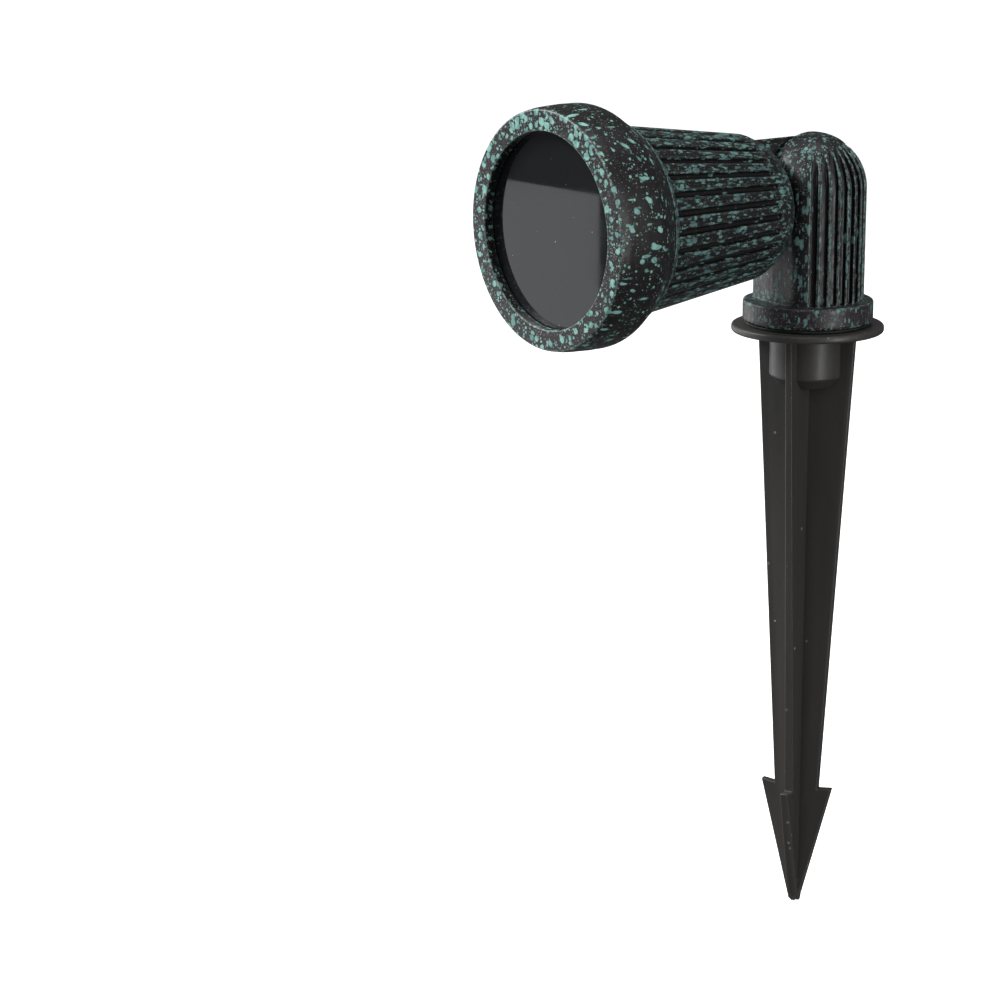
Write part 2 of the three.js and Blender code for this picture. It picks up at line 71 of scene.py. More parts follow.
# ---- Driving sizes, in millimetres and degrees -------------------------------------------------


def box_mm(node):
    """Lowest and highest corner of a CAD node, in millimetres."""
    low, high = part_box(node)
    return np.array(low) / MM, np.array(high) / MM


def joint_mm(name):
    """The point a joint turns about, in millimetres."""
    found = next(j for j in frame["joints"] if j["name"] == name)
    return np.array(found["pos_m"]) / MM


PIVOT_Z = joint_mm("tilt")[2]
AXIS_Z = float(np.mean([corner[2] for corner in box_mm("lens_glass")]))  # height of the lamp's axis
BEZEL_FRONT = -box_mm("bezel_ring")[0][1]
BEZEL_REAR = -box_mm("bezel_ring")[1][1]
BEZEL_R = box_mm("bezel_ring")[1][0]
GLASS_FRONT = -box_mm("lens_glass")[0][1]
GLASS_REAR = -box_mm("lens_glass")[1][1]
GLASS_R = box_mm("lens_glass")[1][0]
COLLAR_LOW = box_mm("elbow_base")[0][2]
COLLAR_R = box_mm("elbow_base")[1][1]
FLANGE_R = box_mm("ground_stake")[1][0]
FLANGE_TOP = box_mm("ground_stake")[1][2]
STAKE_TIP = box_mm("ground_stake")[0][2]
FLOOR_Z = STAKE_TIP - 0.5

RIBS = 32
RIB_PITCH = 360 / RIBS
COLUMN_R = 20.5
COLUMN_FLAT = 17.3  # from the column's axis to the flat that faces the lamp
COLLAR_TOP = 12
LAP_X = -2  # where the two halves of the knuckle meet
LAP_GAP = 0.6
TILT_DOWN = 12
FACET_TURN = 11.5
FIRST_GROOVE = 50.6  # degrees, on the column and on the lug
GROOVE_DEPTH, GROOVE_TIP_DEPTH, GROOVE_HALF = 2.0, 0.5, 1.2
COLUMN_GROOVES, LUG_GROOVES = 13, 4
COLUMN_ARCH, LUG_ARCH = 3.5, 1.5  # how long the grooves' pointed ends are
# The column's grooves end at a leaning plane, and reach their full depth CROWN_FADE below it.
CROWN_LEAN = np.array([-0.18, -0.32, 0.93])
CROWN_RISE, CROWN_FADE = 12.9, 7.0

SHELL_REAR, SHELL_REAR_R = 28.5, 22
SHELL_RIM, SHELL_RIM_R = 33, 25
SHELL_ROOT, SHELL_ROOT_R = 36, 26.4
SHELL_FRONT, SHELL_FRONT_R = 92.3, 33.6
SHELL_WALL = 4
SHELL_GROOVE_START, SHELL_GROOVE_DEPTH, SHELL_GROOVE_HALF = 38.5, 1.6, 1.15
SHOULDER_START, SHOULDER_FULL, SHOULDER_END, SHOULDER_R = 91.6, 95.7, 96, 36.5
SPIGOT_R, SPIGOT_BORE, SPIGOT_END = 35.2, 31.5, 113.3
SPIGOT_PITCH, SPIGOT_THREAD = 3.0, 0.7
SEAL_START, SEAL_THICK, SEAL_GROOVE_R, SEAL_BORE = 98.3, 2.1, 33.7, 34
BEZEL_OPENING, BEZEL_BORE, BEZEL_LIP = 33.8, 35.5, 3.8
BEZEL_STEP_R, BEZEL_STEP, BEZEL_FRONT_R = 41.7, 120.0, 41.0
BEZEL_REAR_R, BEZEL_FLANK_END = 36.6, 105.0

LUG_R, LUG_GROOVE_END = 19.4, 13
RECESS_R, RECESS_FLOOR, SCREW_HOLE_R, SCREW_HOLE_END = 7.5, -15, 2.7, 9.5
NUT_HALF, NUT_END = 4.3, 3.6
RING_POCKET_R, RING_BORE, WASHER_BORE = 9.3, 6.4, 2.8
WIRE_ARC_R, WIRE_R, WIRE_END_X = 12.5, 2.6, 6
WIRE_FROM, WIRE_TO = -14, 102  # degrees about the pivot, from straight up towards the lamp
STEM_TOP, STEM_BORE, STEM_PITCH, STEM_THREAD = 14, 8, 1.5, 0.8
CHAMBER_R, CHAMBER_LOW, CHAMBER_TOP = 11, 13.7, 26
GASKET_BORE = 10.9

FIN_TOP, FIN_LOW, FIN_TURN = 19.2, 8.7, 25.4
FIN_ROOT_HALF, FIN_EDGE_HALF = 2.2, 1.1
BARB_Z, BARB_HALF, BARB_HOOK = -179.9, 14.35, 0.8
PIN_SPREAD = 2.67  # half the spacing of the lamp's pins
BOWL_NECK_R, BOWL_HOLE_R, BOWL_WALL = 11, 5, 0.9
BASE_R, BASE_WELL_R, BASE_WELL_DEPTH = 8.4, 5.2, 6
SCREW_R, SCREW_HEAD_HIGH, SCREW_THREAD_END, SCREW_PITCH, SCREW_THREAD = 2.4, 2.6, 14.0, 0.8, 0.5
CROSS_LONG, CROSS_THICK, CROSS_DEPTH = 2.6, 0.55, 1.8
SMALL_SCREW_SPAN, SMALL_SCREW_R, SMALL_SCREW_HEAD = 13, 1.1, 1.6
SLOT_HALF, SLOT_DEPTH = 0.4, 0.7
BOSS_R, BOSS_DEPTH, BOSS_CHAMFER = 13.8, 20.5, 4
SOCKET_R, SOCKET_DEPTH = 10.6, 17
CORD_HOLE_R, CORD_Z = 3.6, -13

# ---- Meshes ----------------------------------------------------------------------------------


def in_scene(name, data):
    """A new object in the scene, with its data."""
    made = bpy.data.objects.new(name, data)
    bpy.context.scene.collection.objects.link(made)
    return made


def mesh_object(name, points, faces):
    """A closed mesh in the scene, from points in millimetres, with its faces turned outwards."""
    mesh = bpy.data.meshes.new(name)
    mesh.from_pydata((np.asarray(points, float) * MM).tolist(), [], [list(map(int, f)) for f in faces])
    work = bmesh.new()
    work.from_mesh(mesh)
    bmesh.ops.recalc_face_normals(work, faces=work.faces)
    work.to_mesh(mesh)
    work.free()
    mesh.shade_smooth()
    return in_scene(name, mesh)


def rounded(corners, arc_steps=5, longest=3.0, closed=True):
    """An outline with softened corners. Each corner is (radius, height, how far the rounding reaches).

    An outline that starts and ends on the axis is an open one, too.
    """
    corners = np.array(corners, float)
    closed = closed and (corners[0][0] > 0 or corners[-1][0] > 0)
    points = []
    count = len(corners)
    for i, (r, z, reach) in enumerate(corners):
        here = np.array([r, z])
        at_end = not closed and i in (0, count - 1)
        if at_end or reach == 0:
            points.append(here)
            continue
        before = corners[i - 1][:2]
        after = corners[(i + 1) % count][:2]
        start = here + (before - here) / np.linalg.norm(before - here) * reach
        stop = here + (after - here) / np.linalg.norm(after - here) * reach
        for step in range(arc_steps + 1):
            s = step / arc_steps
            points.append((1 - s) ** 2 * start + 2 * s * (1 - s) * here + s**2 * stop)
    return filled(points, longest, closed)


def filled(points, longest, closed):
    """The same outline, with more points along its long straight stretches."""
    out = []
    pairs = list(zip(points, points[1:] + points[:1] if closed else points[1:]))
    for a, b in pairs:
        pieces = max(1, math.ceil(np.linalg.norm(b - a) / longest))
        out += [a + (b - a) * i / pieces for i in range(pieces)]
    if not closed:
        out.append(points[-1])
    return np.array(out)


def ringed(radius, height, angle):
    """Points and faces of a solid about Z, from grids of rings by columns.

    A ring of no radius is one point.
    """
    rings, columns = radius.shape
    points, first = [], []
    for i in range(rings):
        first.append(len(points))
        if radius[i].max() < 1e-9:
            points.append((0, 0, height[i, 0]))
            continue
        points += list(zip(radius[i] * np.cos(angle[i]), radius[i] * np.sin(angle[i]), height[i]))
    capped = radius[0].max() < 1e-9
    faces = []
    for i in range(rings - 1 if capped else rings):
        a, b = first[i], first[(i + 1) % rings]
        a_point = radius[i].max() < 1e-9
        b_point = radius[(i + 1) % rings].max() < 1e-9
        for j in range(columns):
            k = (j + 1) % columns
            if a_point:
                faces.append((a, b + j, b + k))
            elif b_point:
                faces.append((a + j, a + k, b))
            else:
                faces.append((a + j, a + k, b + k, b + j))
    return np.array(points), faces


def spun(outline, sides):
    """Grids of radius, height and angle for an outline turned about Z."""
    angle = np.broadcast_to(np.linspace(0, 2 * math.pi, sides, endpoint=False), (len(outline), sides))
    radius = np.repeat(outline[:, :1], sides, axis=1)
    height = np.repeat(outline[:, 1:], sides, axis=1)
    return radius, height, angle


def turned(corners, sides=192, arc_steps=5, longest=3.0):
    """Points and faces of a turned solid about Z."""
    return ringed(*spun(rounded(corners, arc_steps, longest), sides))


def in_head(points):
    """Points about the lamp's axis, +Z forward and +Y up, carried into the frame."""
    points = np.asarray(points, float)
    return np.stack([points[:, 0], -points[:, 2], AXIS_Z + points[:, 1]], axis=1)


def along_x(points, at):
    """Points about Z carried to the axis along X through the pivot, from X = at towards -X."""
    points = np.asarray(points, float)
    return np.stack([at - points[:, 2], points[:, 0], PIVOT_Z + points[:, 1]], axis=1)


def in_cord_hole(points):
    """Points about Z carried to the axis of the stake's cord hole, along Y."""
    return np.stack([points[:, 0], points[:, 2], CORD_Z + points[:, 1]], axis=1)


def sculpted(name, distance, low, high, step=0.44):
    """The surface where a distance function is zero, over a box, as an object."""
    axes = [np.arange(a, b + step, step, dtype=np.float32) for a, b in zip(low, high)]
    x, y, z = np.meshgrid(*axes, indexing="ij")
    reach = 3 * step
    values = np.clip(distance(x, y, z), -reach, reach).astype(np.float32)
    grid = openvdb.FloatGrid(reach)
    grid.copyFromArray(np.ascontiguousarray(values))
    points, quads = grid.convertToQuads(0.0)
    return mesh_object(name, points * step + np.array(low), quads)


def soft_max(a, b, k):
    """The greater of two distances, with the crease between them softened over about k."""
    h = np.clip(0.5 + 0.5 * (a - b) / k, 0, 1)
    return b + (a - b) * h + k * h * (1 - h)


def soft_min(a, b, k):
    return -soft_max(-a, -b, k)


def cut(body, *hollows, k=0.5):
    """A body's distance with hollows taken out, each with a softened edge."""
    for hollow in hollows:
        body = soft_max(body, -hollow, k)
    return body


def evaluated(made):
    """The object with its modifiers applied to its mesh."""
    mesh = bpy.data.meshes.new_from_object(made.evaluated_get(bpy.context.evaluated_depsgraph_get()))
    made.modifiers.clear()
    made.data = mesh
    return made


def combined(body, tool, operation):
    """A solid joined with, or cut by, another one, which is used up."""
    modifier = body.modifiers.new("combine", "BOOLEAN")
    modifier.operation = operation
    modifier.solver = "MANIFOLD"
    modifier.object = tool
    evaluated(body)
    bpy.data.objects.remove(tool)
    return body


def bevelled(made, width, segments=3, angle=30):
    modifier = made.modifiers.new("bevel", "BEVEL")
    modifier.width = width * MM
    modifier.segments = segments
    modifier.limit_method = "ANGLE"
    modifier.angle_limit = math.radians(angle)
    return made


def flat_shaded_well(made, angle=35):
    """Smooth shading that keeps broad flats flat and sharp edges sharp."""
    made.data.shade_smooth()
    made.data.set_sharp_from_angle(angle=math.radians(angle))
    modifier = made.modifiers.new("normals", "WEIGHTED_NORMAL")
    modifier.keep_sharp = True
    return made


def mark(made, name, values):
    """A number at each vertex, which materials read."""
    attribute = made.data.attributes.new(name, "FLOAT", "POINT")
    attribute.data.foreach_set("value", np.asarray(values, np.float32))


def points_of(made):
    co = np.empty(len(made.data.vertices) * 3)
    made.data.vertices.foreach_get("co", co)
    return co.reshape(-1, 3) / MM


def smooth_step(low, high, value):
    s = np.clip((value - low) / (high - low), 0, 1)
    return s * s * (3 - 2 * s)


def mark_wear(made, blunt=0.9, sharp=2.2, scale=1.0):
    """Marks a solid's outward edges: 0 where it bends less than blunt per millimetre, 1 above sharp."""
    mesh = made.data
    co = points_of(made)
    ends = np.empty(len(mesh.edges) * 2, np.int64)
    mesh.edges.foreach_get("vertices", ends)
    a, b = ends.reshape(-1, 2).T
    normals = np.empty(len(mesh.vertices) * 3)
    mesh.vertices.foreach_get("normal", normals)
    normals = normals.reshape(-1, 3)
    span = co[b] - co[a]
    length2 = np.maximum((span**2).sum(1), 1e-9)
    bend_a = -(span * normals[a]).sum(1) / length2 * 2
    bend_b = (span * normals[b]).sum(1) / length2 * 2
    sharpest = np.full(len(co), -10.0)
    np.maximum.at(sharpest, a, bend_a)
    np.maximum.at(sharpest, b, bend_b)
    mark(made, "wear", smooth_step(blunt, sharp, sharpest) * scale)


def finished(made, node, material=None):
    """Rides a piece on its body in place of its CAD node, with its finish."""
    slot = next(part["material_slot"] for part in frame["record"]["subparts"] if part["node"] == node)
    bodies = frame["record"]["behaviour"]["bodies"]
    made.data.materials.clear()
    made.data.materials.append(material or FINISHES[slot])
    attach(made, next(body for body, nodes in bodies.items() if node in nodes))
    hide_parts(node)
    return made


# ---- Material nodes --------------------------------------------------------------------------


class Graph:
    """One material's nodes. Each method adds a node and gives its output."""

    def __init__(self, name):
        self.material = bpy.data.materials.new(name)
        self.material.use_nodes = True
        self.tree = self.material.node_tree
        self.shader = self.tree.nodes["Principled BSDF"]

    def feed(self, socket, value):
        if isinstance(value, bpy.types.NodeSocket):
            self.tree.links.new(value, socket)
        elif value is not None:
            socket.default_value = value

    def add(self, kind, inputs, output=0, **settings):
        node = self.tree.nodes.new(kind)
        for key, value in settings.items():
            setattr(node, key, value)
        for key, value in inputs.items():
            self.feed(node.inputs[key], value)
        return node.outputs[output]

    def math(self, operation, *values, clamp=False):
        return self.add("ShaderNodeMath", dict(enumerate(values)), operation=operation, use_clamp=clamp)

    def vector(self, operation, *values):
        return self.add("ShaderNodeVectorMath", dict(enumerate(values)), operation=operation)

    def scaled(self, vector, factors):
        return self.vector("MULTIPLY", vector, factors)

    def place(self, factors=(1, 1, 1), turn=(0, 0, 0)):
        """Where a point is, in millimetres times the factors, after a turn given in degrees."""
        spot = self.add("ShaderNodeTexCoord", {}, output="Object")
        if any(turn):
            inputs = {"Vector": spot, "Rotation": [math.radians(v) for v in turn]}
            spot = self.add("ShaderNodeVectorRotate", inputs, rotation_type="EULER_XYZ")
        return self.scaled(spot, tuple(f / MM for f in factors))

    def noise(self, vector, size, detail=2.0, rough=0.5, output="Fac"):
        """Smooth noise whose lumps are about size across, in the vector's units."""
        inputs = {"Vector": vector, "Scale": 1 / size, "Detail": detail, "Roughness": rough}
        return self.add("ShaderNodeTexNoise", inputs, output=output)

    def ranged(self, value, low, high, to_low=0.0, to_high=1.0):
        inputs = {0: value, 1: low, 2: high, 3: to_low, 4: to_high}
        return self.add("ShaderNodeMapRange", inputs, interpolation_type="SMOOTHSTEP", clamp=True)

    def mix(self, share, a, b):
        """Two colours mixed, on the node's sockets for colours."""
        node = self.tree.nodes.new("ShaderNodeMix")
        node.data_type = "RGBA"
        for index, value in ((0, share), (6, a), (7, b)):
            self.feed(node.inputs[index], value)
        return node.outputs[2]

    def mark(self, name):
        return self.add("ShaderNodeAttribute", {}, output="Fac", attribute_name=name)

    def bump(self, height, distance_mm, strength=1.0, normal=None):
        inputs = {"Height": height, "Distance": distance_mm * MM, "Strength": strength, "Normal": normal}
        return self.add("ShaderNodeBump", inputs)

    def done(self, **inputs):
        """Sets the shader's sockets, whose names have _ for a space, and gives the material."""
        for key, value in inputs.items():
            self.feed(self.shader.inputs[key.replace("_", " ")], value)
        return self.material


def shade(red, green, blue):
    """A colour given as it looks on a screen, from 0 to 255, in linear light."""
    shares = [c / 255 for c in (red, green, blue)]
    return (*[((c + 0.055) / 1.055) ** 2.4 if c > 0.04 else c / 12.92 for c in shares], 1.0)


def flecks(g, place, size, share, biggest, offset, ragged=0.15, soft=0.06):
    """Paint drops: a share of cells, size apart, hold one.

    Gives the drops' mask, and how deep inside a drop a point is, as a share of the size.
    """
    moved = g.vector("ADD", place, (offset, offset * 0.7, -offset * 1.3))
    lumps = g.noise(moved, size * 0.45, 2.0, output="Color")
    spread = g.scaled(g.vector("SUBTRACT", lumps, (0.5, 0.5, 0.5)), (size * ragged * 2,) * 3)
    node = g.tree.nodes.new("ShaderNodeTexVoronoi")
    g.feed(node.inputs["Vector"], g.vector("ADD", moved, spread))
    g.feed(node.inputs["Scale"], 1 / size)
    chance = g.add("ShaderNodeSeparateColor", {0: node.outputs["Color"]})
    above = g.math("SUBTRACT", chance, g.math("SUBTRACT", 1.0, share))
    level = g.math("DIVIDE", g.math("MAXIMUM", above, 0.0), share)
    radius = g.math("MULTIPLY", g.math("POWER", level, 0.5), biggest)
    depth = g.math("SUBTRACT", radius, node.outputs["Distance"])
    return g.math("DIVIDE", depth, soft, clamp=True), depth


# The third colour is painted shade, not a paint: it darkens the floors of the grooves.
PAINT_DARK, PAINT_LIGHT, GROOVE_PAINTED_SHADE = shade(17, 15, 15), shade(29, 25, 25), shade(6, 6, 6)
DROP_RIM = shade(40, 66, 62)
DUSTY, SPECK, STAR = shade(52, 46, 49), shade(116, 108, 112), shade(176, 190, 182)
WORN = shade(128, 152, 146)


def splatter_paint(name, layers, bright, dull):
    """Near-black paint with verdigris drops, fine specks and worn edges, and painted shade in its grooves.

    Each layer of drops has a stretch, a turn, a size, the biggest drop as a share of the size, and the
    shares of drops on the plain and on the densely covered faces.
    """
    g = Graph(name)
    even = g.place()
    dense = g.mark("dense")
    land = g.mark("land")
    patchy = g.ranged(g.noise(even, 9.0, 2.0), 0.35, 0.65, 0.6, 1.25)
    on_land = g.math("MULTIPLY", patchy, g.ranged(land, 0.0, 1.0, 0.1, 1.0))
    on_land = g.math("MULTIPLY", on_land, g.math("SUBTRACT", 1.0, dense))
    drops, depth = 0.0, -1.0
    for i, (stretch, turn, size, biggest, plain_share, dense_share) in enumerate(layers):
        plain = g.math("MULTIPLY", on_land, plain_share)
        share = g.math("ADD", plain, g.math("MULTIPLY", dense, dense_share))
        some, some_depth = flecks(g, g.place(stretch, turn), size, share, biggest, 3.1 + 17.0 * i)
        drops = g.math("MAXIMUM", drops, some)
        depth = g.math("MAXIMUM", depth, some_depth)
    fill = g.mix(g.ranged(g.noise(even, 2.6, 3.0), 0.35, 0.65), dull, bright)
    rim = g.math("MULTIPLY", g.ranged(depth, 0.1, 0.02, 0.0, 0.45), drops)
    fill = g.mix(rim, fill, DROP_RIM)
    ground = g.mix(g.noise(even, 6.0, 4.0), PAINT_DARK, PAINT_LIGHT)
    # Painted shade: the ground turns near black down in the grooves, where land falls towards 0.
    ground = g.mix(g.ranged(land, 0.2, 0.9, 0.75, 0.0), ground, GROOVE_PAINTED_SHADE)
    specks, _ = flecks(g, even, 0.55, g.math("MULTIPLY", on_land, 0.3), 0.5, 77.0, 0.1, 0.15)
    dust, _ = flecks(g, even, 0.62, g.math("MULTIPLY", dense, 0.6), 0.55, 29.0, 0.1, 0.15)
    fine = g.math("MAXIMUM", specks, dust)
    ground = g.mix(g.math("MULTIPLY", dense, 0.5), ground, DUSTY)
    ground = g.mix(g.math("MULTIPLY", fine, 0.6), ground, SPECK)
    colour = g.mix(drops, ground, fill)
    stars, _ = flecks(g, even, 2.6, 0.16, 0.16, 51.0, 0.1, 0.04)
    colour = g.mix(g.math("MULTIPLY", stars, land), colour, STAR)
    ragged = g.ranged(g.noise(even, 1.3, 4.0, 0.7), 0.4, 0.6)
    scuffed = g.math("MULTIPLY", g.math("MULTIPLY", g.mark("wear"), ragged), 0.8)
    colour = g.mix(scuffed, colour, WORN)
    normal = g.bump(g.noise(even, 1.1, 2.0), 0.02, 0.6)
    normal = g.bump(drops, 0.05, 0.8, normal)
    rough = g.ranged(g.noise(even, 3.0, 3.0), 0.3, 0.7, 0.36, 0.5)
    rough = g.math("ADD", rough, g.math("MULTIPLY", drops, 0.12))
    return g.done(Base_Color=colour, Roughness=rough, Normal=normal, Specular_IOR_Level=0.4)


def moulded_plastic(name):
    """Black moulded plastic with a fine leathery grain, dust and paler edges."""
    g = Graph(name)
    even = g.place()
    drawn = g.place((1, 1, 0.12))
    wear = g.mark("wear")
    base = g.mix(g.noise(drawn, 5.0, 4.0), shade(48, 46, 45), shade(63, 61, 59))
    base = g.mix(g.math("MULTIPLY", wear, 0.35), base, shade(95, 93, 90))
    dust, _ = flecks(g, even, 1.5, 0.03, 0.5, 5.0, 0.2, 0.08)
    patches = g.ranged(g.noise(even, 14.0, 2.0), 0.5, 0.65)
    base = g.mix(g.math("MULTIPLY", g.math("MULTIPLY", dust, patches), 0.7), base, shade(170, 168, 162))
    grain = g.noise(even, 0.55, 3.0, 0.6)
    sheen = g.ranged(g.noise(drawn, 8.0, 3.0), 0.3, 0.7, 0.42, 0.56)
    normal = g.bump(grain, 0.06, 0.7)
    return g.done(Base_Color=base, Roughness=sheen, Normal=normal, Specular_IOR_Level=0.5)


def smoky_glass(name):
    """Toughened glass with a grey cast, dust on its face and faint wiping marks."""
    g = Graph(name)
    even = g.place()
    dust, _ = flecks(g, even, 2.0, 0.12, 0.14, 9.0, 0.1, 0.03)
    haze = g.noise(g.place((0.3, 1, 1)), 12.0, 3.0)
    tint = g.mix(haze, shade(34, 35, 38), shade(42, 43, 47))
    colour = g.mix(g.math("MULTIPLY", dust, 0.8), tint, shade(170, 172, 176))
    rough = g.math("ADD", g.ranged(haze, 0.3, 0.7, 0.02, 0.06), g.math("MULTIPLY", dust, 0.5))
    clear = g.math("MULTIPLY", g.math("SUBTRACT", 1.0, dust), 0.55)
    return g.done(Base_Color=colour, Roughness=rough, Transmission_Weight=clear, IOR=1.52)


def plain_glass(name):
    g = Graph(name)
    haze = g.noise(g.place(), 5.0, 2.0)
    rough = g.ranged(haze, 0.3, 0.7, 0.01, 0.05)
    colour = g.mix(haze, (0.9, 0.93, 0.94, 1), (0.96, 0.97, 0.98, 1))
    return g.done(Base_Color=colour, Roughness=rough, Transmission_Weight=1.0, IOR=1.5)


def metal(name, low, high, rough_low, rough_high, brush=(1, 1, 1)):
    """Plated or bare metal with fine brush marks and uneven polish."""
    g = Graph(name)
    marks = g.noise(g.place(brush), 0.6, 4.0)
    blotch = g.noise(g.place(), 3.0, 3.0)
    rough = g.ranged(blotch, 0.3, 0.7, rough_low, rough_high)
    colour = g.mix(marks, low, high)
    return g.done(Base_Color=colour, Metallic=1.0, Roughness=rough, Normal=g.bump(marks, 0.02, 0.4))


def rubber(name):
    g = Graph(name)
    grain = g.noise(g.place(), 0.8, 4.0)
    dusty = g.ranged(g.noise(g.place(), 5.0, 3.0), 0.45, 0.7)
    colour = g.mix(g.math("MULTIPLY", dusty, 0.25), shade(16, 16, 16), shade(90, 88, 84))
    rough = g.ranged(grain, 0.3, 0.7, 0.65, 0.85)
    return g.done(Base_Color=colour, Roughness=rough, Normal=g.bump(grain, 0.03))


def ceramic(name):
    g = Graph(name)
    grain = g.noise(g.place(), 0.5, 4.0)
    stain = g.noise(g.place(), 6.0, 3.0)
    colour = g.mix(stain, shade(222, 216, 202), shade(238, 234, 224))
    rough = g.ranged(grain, 0.3, 0.7, 0.45, 0.65)
    return g.done(Base_Color=colour, Roughness=rough, Normal=g.bump(grain, 0.02))


TEAL, TEAL_DULL = shade(142, 192, 182), shade(98, 146, 140)
# The same drops' teal, darker and greyer: painted shade for the head's cone and the elbow.
TEAL_SHADED, TEAL_DULL_SHADED = shade(104, 144, 138), shade(66, 96, 97)
LEVEL, SLANTED, UPRIGHT = (1, 0.36, 1), (0.95, 0.4, 0.8), (1, 1, 0.4)  # stretches of the drops
ROUND = (1, 1, 1)
NO_TURN = (0, 0, 0)

bezel_paint = splatter_paint("bezel_paint", [
    (LEVEL, NO_TURN, 2.5, 0.42, 0.32, 0.0),
    (SLANTED, (35, 0, 35), 2.4, 0.42, 0.3, 0.0),
    (ROUND, NO_TURN, 1.7, 0.36, 0.35, 0.0),
    (ROUND, NO_TURN, 0.75, 0.36, 0.35, 0.45),
    ((1, 0.8, 1), NO_TURN, 2.7, 0.62, 0.0, 0.55),
    (ROUND, NO_TURN, 1.2, 0.55, 0.04, 0.5),
], TEAL, TEAL_DULL)
housing_paint = splatter_paint("housing_paint", [
    (LEVEL, NO_TURN, 1.5, 0.6, 0.55, 0.6),
    (LEVEL, NO_TURN, 0.85, 0.58, 0.55, 0.6),
    (ROUND, NO_TURN, 0.8, 0.4, 0.5, 0.4),
    (ROUND, NO_TURN, 3.2, 0.34, 0.25, 0.5),
], TEAL_SHADED, TEAL_DULL_SHADED)
elbow_paint = splatter_paint("elbow_paint", [
    (UPRIGHT, NO_TURN, 1.6, 0.58, 0.45, 0.0),
    (UPRIGHT, NO_TURN, 0.9, 0.55, 0.4, 0.3),
    (ROUND, NO_TURN, 0.8, 0.4, 0.4, 0.4),
    (ROUND, NO_TURN, 3.0, 0.5, 0.12, 0.5),
], TEAL_SHADED, TEAL_DULL_SHADED)
FINISHES = {
    "splatter_paint": housing_paint,
    "stake_plastic": moulded_plastic("stake_plastic"),
    "clear_glass": plain_glass("lamp_glass"),
    "plated_steel": metal("plated_steel", (0.42, 0.42, 0.43, 1), (0.62, 0.62, 0.63, 1), 0.28, 0.45),
    "contact_brass": metal("contact_brass", (0.5, 0.36, 0.14, 1), (0.68, 0.52, 0.24, 1), 0.25, 0.4),
    "reflector_mirror": metal("reflector_mirror", (0.76, 0.77, 0.8, 1), (0.86, 0.86, 0.88, 1), 0.05, 0.12),
    "seal_rubber": rubber("seal_rubber"),
    "lamp_ceramic": ceramic("lamp_ceramic"),
}

# ---- Elbow -----------------------------------------------------------------------------------


def bar_x(x, y, z, r, low, high, at_y=0):
    """Distance to a round bar along X, at the pivot's height."""
    return np.maximum(np.hypot(y - at_y, z - PIVOT_Z) - r, np.maximum(low - x, x - high))


def grooves_about(angle, around_r, end, deep, centres, arch):
    """Distance to grooves at angles in degrees about an axis.

    end is how far a point is inside the grooves' end, where they narrow to a pointed arch.
    """
    nearest = np.full_like(angle, 1e3)
    for centre in centres:
        off = np.abs((angle - centre + 180) % 360 - 180)
        nearest = np.minimum(nearest, off)
    half = GROOVE_HALF * np.sqrt(np.clip(end / arch, 0, 1))
    across = np.radians(nearest) * around_r - half
    return soft_max(np.maximum(across, -end), deep, 0.5)


def elbow_distance(x, y, z):
    """Distance to the elbow: a collar, then a domed column whose far half is cut down for the lug."""
    rho = np.hypot(x, y)
    from_middle = np.abs(z - (COLLAR_LOW + COLLAR_TOP) / 2)
    collar = soft_max(rho - COLLAR_R, from_middle - (COLLAR_TOP - COLLAR_LOW) / 2, 0.9)
    above = np.maximum(z - PIVOT_Z, 0)
    skin = np.sqrt(rho**2 + above**2) - COLUMN_R
    ribbed = soft_max(soft_max(skin, LAP_X - x, 0.7), -COLUMN_FLAT - y, 1.2)
    down = math.radians(TILT_DOWN)
    ramp = -math.sin(down) * y + math.cos(down) * (z - PIVOT_Z) + COLUMN_R + LAP_GAP
    turn = math.radians(FACET_TURN)
    facet = -math.sin(turn) * (x - LAP_X) - math.cos(turn) * (y + COLUMN_FLAT)
    screw_side = soft_max(soft_max(rho - COLUMN_R, ramp, 0.8), np.maximum(facet, x), 0.8)
    screw_side = soft_max(screw_side, -COLUMN_FLAT - y, 0.8)
    post = np.maximum(np.minimum(ribbed, screw_side), COLLAR_TOP - 1.5 - z)
    angle = np.degrees(np.arctan2(x, -y))
    centres = [FIRST_GROOVE + RIB_PITCH * i for i in range(COLUMN_GROOVES)]
    lean = CROWN_LEAN / np.linalg.norm(CROWN_LEAN)
    crown = CROWN_RISE - (lean[0] * x + lean[1] * y + lean[2] * (z - PIVOT_Z))
    depth = GROOVE_TIP_DEPTH + (GROOVE_DEPTH - GROOVE_TIP_DEPTH) * smooth_step(0, CROWN_FADE, crown)
    grooves = grooves_about(angle, rho, crown, -depth - skin, centres, COLUMN_ARCH)
    grooves = np.maximum(grooves, np.maximum(LAP_X - x, COLLAR_TOP + 0.3 - z))
    body = soft_min(collar, cut(post, grooves), 0.6)
    up = z - PIVOT_Z
    way = np.degrees(np.arctan2(-y, up))
    off_arc = np.maximum(np.maximum(WIRE_FROM - way, way - WIRE_TO), 0) * math.radians(WIRE_ARC_R)
    wire = np.maximum(np.hypot(np.hypot(y, up) - WIRE_ARC_R, off_arc) - WIRE_R, x - WIRE_END_X)
    nut = np.maximum(np.maximum(np.abs(y), np.abs(up)) - NUT_HALF, x - NUT_END)
    return cut(
        body,
        bar_x(x, y, z, SCREW_HOLE_R, LAP_X - 1, SCREW_HOLE_END),
        bar_x(x, y, z, RING_POCKET_R, LAP_X - 7, LAP_X + 1),
        nut,
        wire,
        np.maximum(rho - SOCKET_R, z - STEM_TOP),
        np.maximum(rho - CHAMBER_R, np.maximum(CHAMBER_LOW - z, z - CHAMBER_TOP)),
    )


